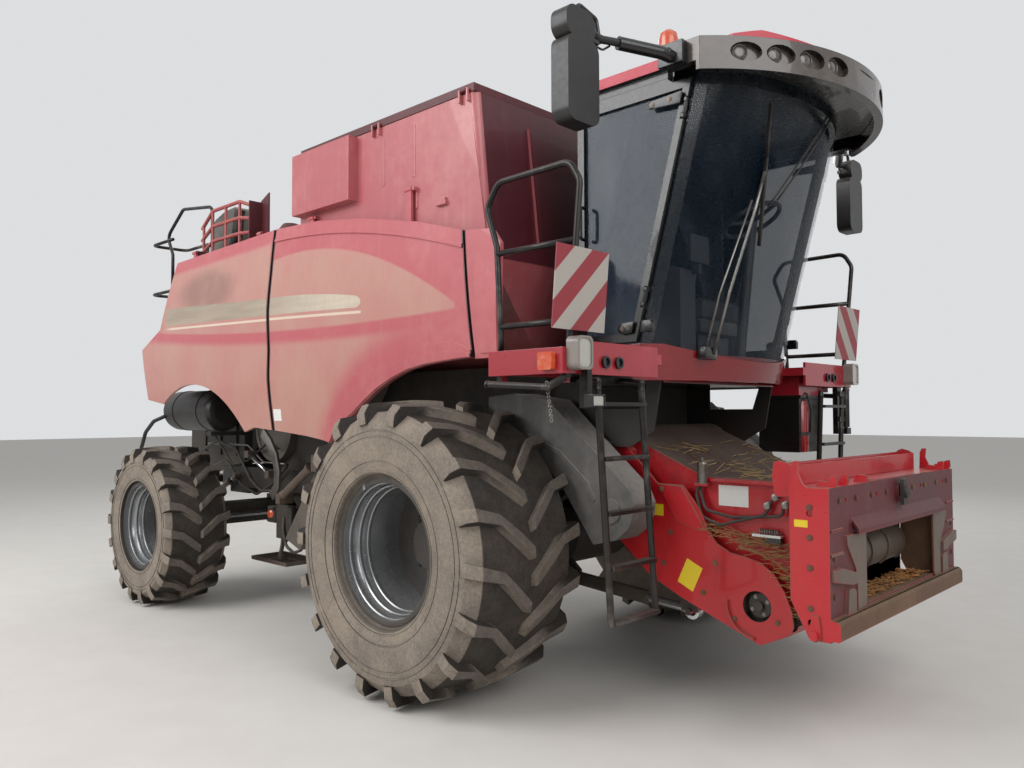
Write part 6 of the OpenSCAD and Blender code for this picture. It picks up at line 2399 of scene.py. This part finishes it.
@dataclass
class Feeder:
    """Feeder house, its drum and the tilting adapter frame.

    Attributes:
        channel: Distance of the channel's side from the middle.
        bearing: Place of the drum's bearing, in X and Z.
        couplers: Places of the pipe couplers on the channel, in X and Z.
        adapter_bolts: Rows of bolts on the adapter's front: first and last place in
            Y, height and number.
        side_bolts: Places of the bolts on the adapter's sides, in X and Z.
        plate_bolts: Places of the bolts on the outer plates, in X and Z.
        pipes: Points that the two thin pipes follow.
        coil_turns: Turns of the small spring.
        coil_radius: Radius of its turns.
        straw_beds: Beds of straw: name, finish, stalks on a square metre, length and
            radius of a stalk, seed, and the bed's two edges.
    """

    channel: float = 0.62
    bearing: Pair = (1.858, 0.69)
    couplers: tuple[Pair, ...] = (
        (1.949, 1.303), (2.008, 1.263), (2.038, 1.336), (1.9, 1.252),
    )
    adapter_bolts: tuple[tuple[float, float, float, int], ...] = (
        (-0.86, 0.86, 1.33, 9), (-0.93, -0.93, 1.05, 1), (0.93, 0.93, 1.05, 1),
        (-0.93, -0.93, 0.86, 1), (0.93, 0.93, 0.86, 1),
    )
    side_bolts: tuple[Pair, ...] = (
        (2.3, 0.8), (2.3, 1.0), (2.3, 1.15), (2.3, 1.3),
    )
    plate_bolts: tuple[Pair, ...] = (
        (1.245, 1.31), (1.3, 1.05), (1.6, 0.9), (1.52, 0.72), (1.72, 0.6), (1.98, 0.62),
        (2.02, 0.85), (1.25, 0.86),
    )
    pipes: tuple[tuple[Point, ...], ...] = (
        ((1.5, -0.655, 1.37), (1.46, -0.665, 1.3), (1.5, -0.668, 1.16),
         (1.62, -0.665, 1.12), (1.9, -0.66, 1.2), (1.949, -0.655, 1.303)),
        ((1.47, -0.65, 1.36), (1.52, -0.662, 1.2), (1.7, -0.655, 1.17),
         (2.0, -0.655, 1.2), (2.008, -0.655, 1.263)),
    )
    coil_turns: int = 8
    coil_radius: float = 0.016
    straw_beds: tuple[
        tuple[str, Look, float, float, float, int, tuple[Point, ...], tuple[Point, ...]], ...
    ] = (
        ("straw_behind_plate", Look.STRAW, 2900.0, 0.13, 0.0015, 3,
         ((1.5, -0.64, 1.14), (1.72, -0.64, 1.1), (1.95, -0.64, 1.06),
          (2.1, -0.64, 1.02)),
         ((1.5, -0.685, 1.08), (1.72, -0.685, 1.04), (1.95, -0.685, 0.92),
          (2.1, -0.685, 0.74))),
        ("straw_on_top", Look.STRAW, 120.0, 0.16, 0.0017, 8,
         ((1.1, -0.55, 1.6), (1.4, -0.55, 1.47), (1.7, -0.55, 1.392),
          (2.05, -0.55, 1.385)),
         ((1.1, 0.55, 1.6), (1.4, 0.55, 1.47), (1.7, 0.55, 1.392),
          (2.05, 0.55, 1.385))),
        ("husks_in_mouth", Look.HUSK, 2600.0, 0.08, 0.003, 5,
         ((2.245, -0.54, 0.785), (2.3, -0.54, 0.783), (2.36, -0.54, 0.781)),
         ((2.245, 0.54, 0.785), (2.3, 0.54, 0.783), (2.36, 0.54, 0.781))),
        ("straw_at_joint", Look.STRAW, 2600.0, 0.09, 0.0015, 11,
         ((2.08, -0.69, 0.95), (2.09, -0.69, 0.8), (2.08, -0.69, 0.66)),
         ((2.15, -0.7, 0.95), (2.16, -0.7, 0.8), (2.15, -0.7, 0.66))),
    )

    def build(self) -> None:
        """Dresses the feeder."""
        self._house()
        dress("feeder_drum", "feeder", Look.GUIDE, "steel")
        self._adapter()
        self._fittings()
        self._labels()
        self._straw()

    def _house(self) -> None:
        """Dresses the feeder house: dusty top darkened as painted shade, inside painted black
        as shade, and grey vessel.
        """
        # These faces take dust on a near-black red, which is painted shade.
        def dusty(f: Face) -> bool:
            """Tells whether a face is the top of the channel or its floor."""
            c = f.calc_center_median()
            return abs(f.normal.z) > 0.5 and abs(c.y) < 0.625 and c.x < AXLE_X + 2.07

        # These faces are painted black as shade.
        def dark(f: Face) -> bool:
            """Tells whether a face is inside the bearing's hole or the channel."""
            c = f.calc_center_median()
            x, z = c.x - AXLE_X, c.z
            near = math.hypot(x - self.bearing[0], z - self.bearing[1])
            hole = near < 0.1 and 0.615 < abs(c.y) < 0.689
            inner = abs(c.y) < 0.617 and abs(f.normal.y) > 0.9
            return hole or inner

        def vessel(f: Face) -> bool:
            """Tells whether a face belongs to the pressure vessel."""
            c = f.calc_center_median()
            near = math.hypot(c.x - AXLE_X - 1.5, c.y + 0.655)
            return near < 0.036 and c.z > 1.3501

        dress(
            "feeder_house", "feeder", Look.FEEDER, "feeder_red", 0.003,
            Look.FEEDER_EDGE,
            paint=lambda s: s.paint(dusty, 2).paint(dark, 3).paint(vessel, 4),
            more=[Look.FEEDER_TOP, Look.CHASSIS, Look.STEEL],
        )

    def _adapter(self) -> None:
        """Dresses the adapter: red sides, dull front darkened as painted shade, worn guides and
        rusty bar.
        """
        # These faces take the dull red darkened as painted shade.
        def front(f: Face) -> bool:
            """Tells whether a face looks forward or lies between front and guides."""
            c = f.calc_center_median()
            return c.x > AXLE_X + 2.395 and abs(c.y) < 0.9855

        def guide(f: Face) -> bool:
            """Tells whether a face belongs to the guides beside the opening."""
            c = f.calc_center_median()
            x = c.x - AXLE_X
            return 2.4035 < x and 0.757 < c.z < 1.151 and abs(c.y) < 0.985

        def bar(f: Face) -> bool:
            """Tells whether a face belongs to the lower bar or the opening's rim."""
            c = f.calc_center_median()
            low = c.x > AXLE_X + 2.4 and c.z < 0.7585
            rim = abs(c.y) < 0.6005 and 0.76 < c.z < 1.1405 and c.x > AXLE_X + 2.2
            return low or (rim and abs(f.normal.x) < 0.5)

        dress(
            "adapter_frame", "adapter", Look.FEEDER, "feeder_red", 0.003,
            Look.FEEDER_EDGE,
            paint=lambda s: s.paint(front, 2).paint(guide, 3).paint(bar, 4),
            more=[Look.ADAPTER, Look.GUIDE, Look.RUST],
        )
        skin = Skin("adapter_frame")
        places = []
        for first, last, z, count in self.adapter_bolts:
            for k in range(count):
                y = first + (last - first) * k / max(count - 1, 1)
                point, normal = skin.hit(at(3.0, y, z), (-1.0, 0.0, 0.0))
                if normal.x > 0.9:
                    places.append(tuple(point + Vector((0.003, 0.0, 0.0))))
        bolts("adapter_bolts", "adapter", places, (1.0, 0.0, 0.0), Look.RUST, 0.011,
              0.009)
        latch = Shape()
        point, _ = skin.hit(at(3.0, -0.03, 1.318), (-1.0, 0.0, 0.0))
        latch.box(point - Vector((0.01, 0.035, 0.07)), point + Vector((0.012, 0.035, 0.075)))
        latch.lathe([(0.0, 0.0), (0.034, 0.0), (0.034, 0.024), (0.02, 0.03), (0.0, 0.03)],
                    point, (1.0, 0.0, 0.0), 28)
        latch.piece("adapter_latch", "adapter", [Look.CHASSIS], slot="chassis")
        for _, sign in SIDES:
            side = [
                skin.hit(at(x, sign * 1.4, z), (0.0, -sign, 0.0))
                for x, z in self.side_bolts
            ]
            bolts(
                f"adapter_side_bolts_{'left' if sign > 0 else 'right'}", "adapter",
                [tuple(q + n * 0.003) for q, n in side], (0.0, sign, 0.0),
                Look.RUST, 0.011, 0.009,
            )

    def _fittings(self) -> None:
        """Adds couplers, a spring and pipes on the right, and bolts on both sides."""
        skin = Skin("feeder_house")
        steel, black = Shape(), Shape()
        y = -self.channel
        for x, z in self.couplers:
            steel.lathe(
                [(0.0, 0.0), (0.02, 0.0), (0.02, 0.014), (0.015, 0.016), (0.015, 0.034),
                 (0.019, 0.036), (0.019, 0.05), (0.008, 0.054), (0.0, 0.054)],
                at(x, y, z), (0.25, -1.0, 0.0), 24,
            )
        steps, coil = 12, []
        for k in range(self.coil_turns * steps + 1):
            a = 2 * math.pi * k / steps
            coil.append(at(1.86 + 0.12 * k / (self.coil_turns * steps),
                           y - 0.03 + self.coil_radius * math.cos(a),
                           1.105 + self.coil_radius * math.sin(a)))
        steel.tube(coil, 0.0035, 0.002, 6)
        steel.piece("feeder_couplers", "feeder", [Look.STEEL], slot="steel")
        for line in self.pipes:
            black.tube([at(*q) for q in line], 0.009, 0.06, 10)
        black.box(at(1.9, -0.668, 1.045), at(1.99, -0.625, 1.075))
        black.piece("feeder_pipes", "feeder", [Look.HOSE], slot="black_plastic")
        block = Shape().box(at(1.82, -0.665, 1.075), at(1.99, -0.628, 1.09))
        block.bevel(0.003).piece("feeder_tag_bar", "feeder", [Look.LABEL],
                                 slot="warning_board")
        bx, bz = self.bearing
        for side, sign in SIDES:
            spots = [
                skin.hit(at(x, sign * 1.2, z), (0.0, -sign, 0.0))
                for x, z in self.plate_bolts
            ]
            bolts(f"feeder_plate_bolts_{side}", "feeder",
                  [tuple(q + n * 0.003) for q, n in spots], (0.0, sign, 0.0),
                  Look.RUST, 0.011, 0.009)
            ring = [at(bx + 0.052 * math.cos(a), sign * (self.channel + 0.035),
                       bz + 0.052 * math.sin(a))
                    for a in (math.pi * k / 2 + 0.5 for k in range(4))]
            bolts(f"bearing_bolts_{side}", "feeder", ring, (0.0, sign, 0.0),
                  Look.STEEL, 0.008, 0.01)

    def _labels(self) -> None:
        """Adds the blank labels: one white, the others yellow."""
        skin, end = Skin("feeder_house"), Skin("adapter_frame")
        white, yellow = Shape(), Shape()
        white.tag(Vector(at(1.683, -self.channel, 1.289)), Vector((0.0, -1.0, 0.0)),
                  (0.19, 0.12))
        for x, z, size, turn in ((1.19, 1.18, (0.115, 0.07), 0.0),
                                 (1.43, 0.81, (0.115, 0.16), -25.0)):
            point, normal = skin.hit(at(x, -1.2, z), (0.0, 1.0, 0.0))
            yellow.tag(point, normal, size, turn=turn)
        white.piece("white_feeder_label", "feeder", [Look.LABEL], slot="warning_board")
        yellow.piece("yellow_feeder_labels", "feeder", [Look.YELLOW],
                     slot="warning_board")
        point, normal = end.hit(at(2.255, -1.4, 1.217), (0.0, 1.0, 0.0))
        Shape().tag(point, normal, (0.07, 0.036)).piece(
            "yellow_adapter_label", "adapter", [Look.YELLOW], slot="warning_board"
        )

    def _straw(self) -> None:
        """Scatters straw behind the outer plate, on the top and in the mouth."""
        top = Skin("feeder_house")
        for name, look, density, length, radius, seed, one, other in self.straw_beds:
            verts = [at(*q) for q in (*one, *other)]
            if name == "straw_on_top":
                verts = [
                    tuple(top.hit((v[0], v[1], 2.2), (0.0, 0.0, -1.0))[0]
                          + Vector((0.0, 0.0, 0.006)))
                    for v in verts
                ]
            count = len(one)
            mesh = bpy.data.meshes.new(name)
            mesh.from_pydata(verts, [], [
                (k, k + 1, count + k + 1, count + k) for k in range(count - 1)
            ])
            made = TREES[Tool.STRAW].made_on(
                mesh, look, Density=density, Length=length, Radius=radius, Seed=seed
            )
            body = "adapter" if name == "husks_in_mouth" else "feeder"
            settle(name, made, body, [look], ())


@dataclass
class Studio:
    """Camera at the photograph's place, pale floor and soft light.

    Attributes:
        eye: Place of the camera.
        yaw: Direction of view from +X, in degrees.
        pitch: Upward angle of view, in degrees.
        roll: Turn of the camera round its view, in degrees.
        lens: Focal length for a 36 mm sensor, in millimetres.
        floor: Half of the floor's width.
        lamps: Lamps: name, place, diameter in metres and power in watts.
    """

    eye: Point = (5.4716, -5.008, 1.7755)
    yaw: float = 133.71
    pitch: float = 2.01
    roll: float = -0.17
    lens: float = 29.106
    floor: float = 60.0
    lamps: tuple[tuple[str, Point, float, float], ...] = (
        ("key", (-2.5, -10.0, 8.0), 9.0, 950.0),
        ("front", (9.0, -3.0, 6.0), 7.0, 330.0),
        ("back", (-6.0, 9.0, 7.0), 9.0, 420.0),
    )

    def build(self) -> None:
        """Sets up the camera, the floor, the lamps and the world."""
        self._camera()
        self._floor()
        for name, place, size, power in self.lamps:
            lamp = bpy.data.lights.new(name, "AREA")
            lamp.shape = "DISK"
            lamp.size, lamp.energy = size, power
            lamp.specular_factor = 0.35
            holder = bpy.data.objects.new(name, lamp)
            holder.location = place
            aim = Vector((0.0, 0.0, 1.6)) - Vector(place)
            holder.rotation_euler = aim.to_track_quat("-Z", "Y").to_euler()
            bpy.context.scene.collection.objects.link(holder)
        self._world()
        bpy.context.scene.view_settings.view_transform = "Standard"

    def _camera(self) -> None:
        """Places the camera."""
        data = bpy.data.cameras.new("camera")
        data.sensor_width, data.lens = 36.0, self.lens
        data.sensor_fit = "HORIZONTAL"
        data.clip_end = 500.0
        holder = bpy.data.objects.new("camera", data)
        yaw, pitch = math.radians(self.yaw), math.radians(self.pitch)
        look = Vector((
            math.cos(pitch) * math.cos(yaw), math.cos(pitch) * math.sin(yaw),
            math.sin(pitch),
        ))
        turn = look.to_track_quat("-Z", "Y").to_matrix().to_4x4()
        turn = turn @ Matrix.Rotation(math.radians(self.roll), 4, "Z")
        holder.matrix_world = Matrix.Translation(self.eye) @ turn
        bpy.context.scene.collection.objects.link(holder)
        bpy.context.scene.camera = holder

    def _floor(self) -> None:
        """Lays the pale floor."""
        half = self.floor
        mesh = bpy.data.meshes.new("floor")
        mesh.from_pydata(
            [(-half, -half, -0.002), (half, -half, -0.002), (half, half, -0.002),
             (-half, half, -0.002)], [], [(0, 1, 2, 3)],
        )
        s = Surface("floor")
        grit = s.noise(3.0, 5.0)
        mesh.materials.append(s.finish(
            Base_Color=s.mix(colour("dedbd6"), colour("d2cec8"), grit), Roughness=0.9
        ))
        floor = bpy.data.objects.new("floor", mesh)
        bpy.context.scene.collection.objects.link(floor)

    @staticmethod
    def _world() -> None:
        """Lights the scene evenly and shows a pale background."""
        world = bpy.data.worlds.new("studio")
        bpy.context.scene.world = world
        world.use_nodes = True
        tree = Tree(world.node_tree)
        rays = tree.node("ShaderNodeLightPath")
        seen = Link(tree, rays.outputs["Is Camera Ray"])
        for name in ("Is Glossy Ray", "Is Transmission Ray"):
            seen = seen.at_least(Link(tree, rays.outputs[name]))
        strength = seen * 0.32 + 0.52
        sky = tree.out(
            "ShaderNodeBackground", None,
            {"Color": colour("eef0f2"), "Strength": strength},
        )
        tree.node("ShaderNodeOutputWorld", None, {0: sky})


def main() -> None:
    """Builds the studio and every sub-assembly in order."""
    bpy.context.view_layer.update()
    Studio().build()
    for assembly in (
        Wheels(), Underbody(), Bodywork(), GrainTank(), Cab(), Platforms(), Feeder(),
    ):
        LOG.info("building %s", type(assembly).__name__)
        assembly.build()


if __name__ == "__main__":
    main()
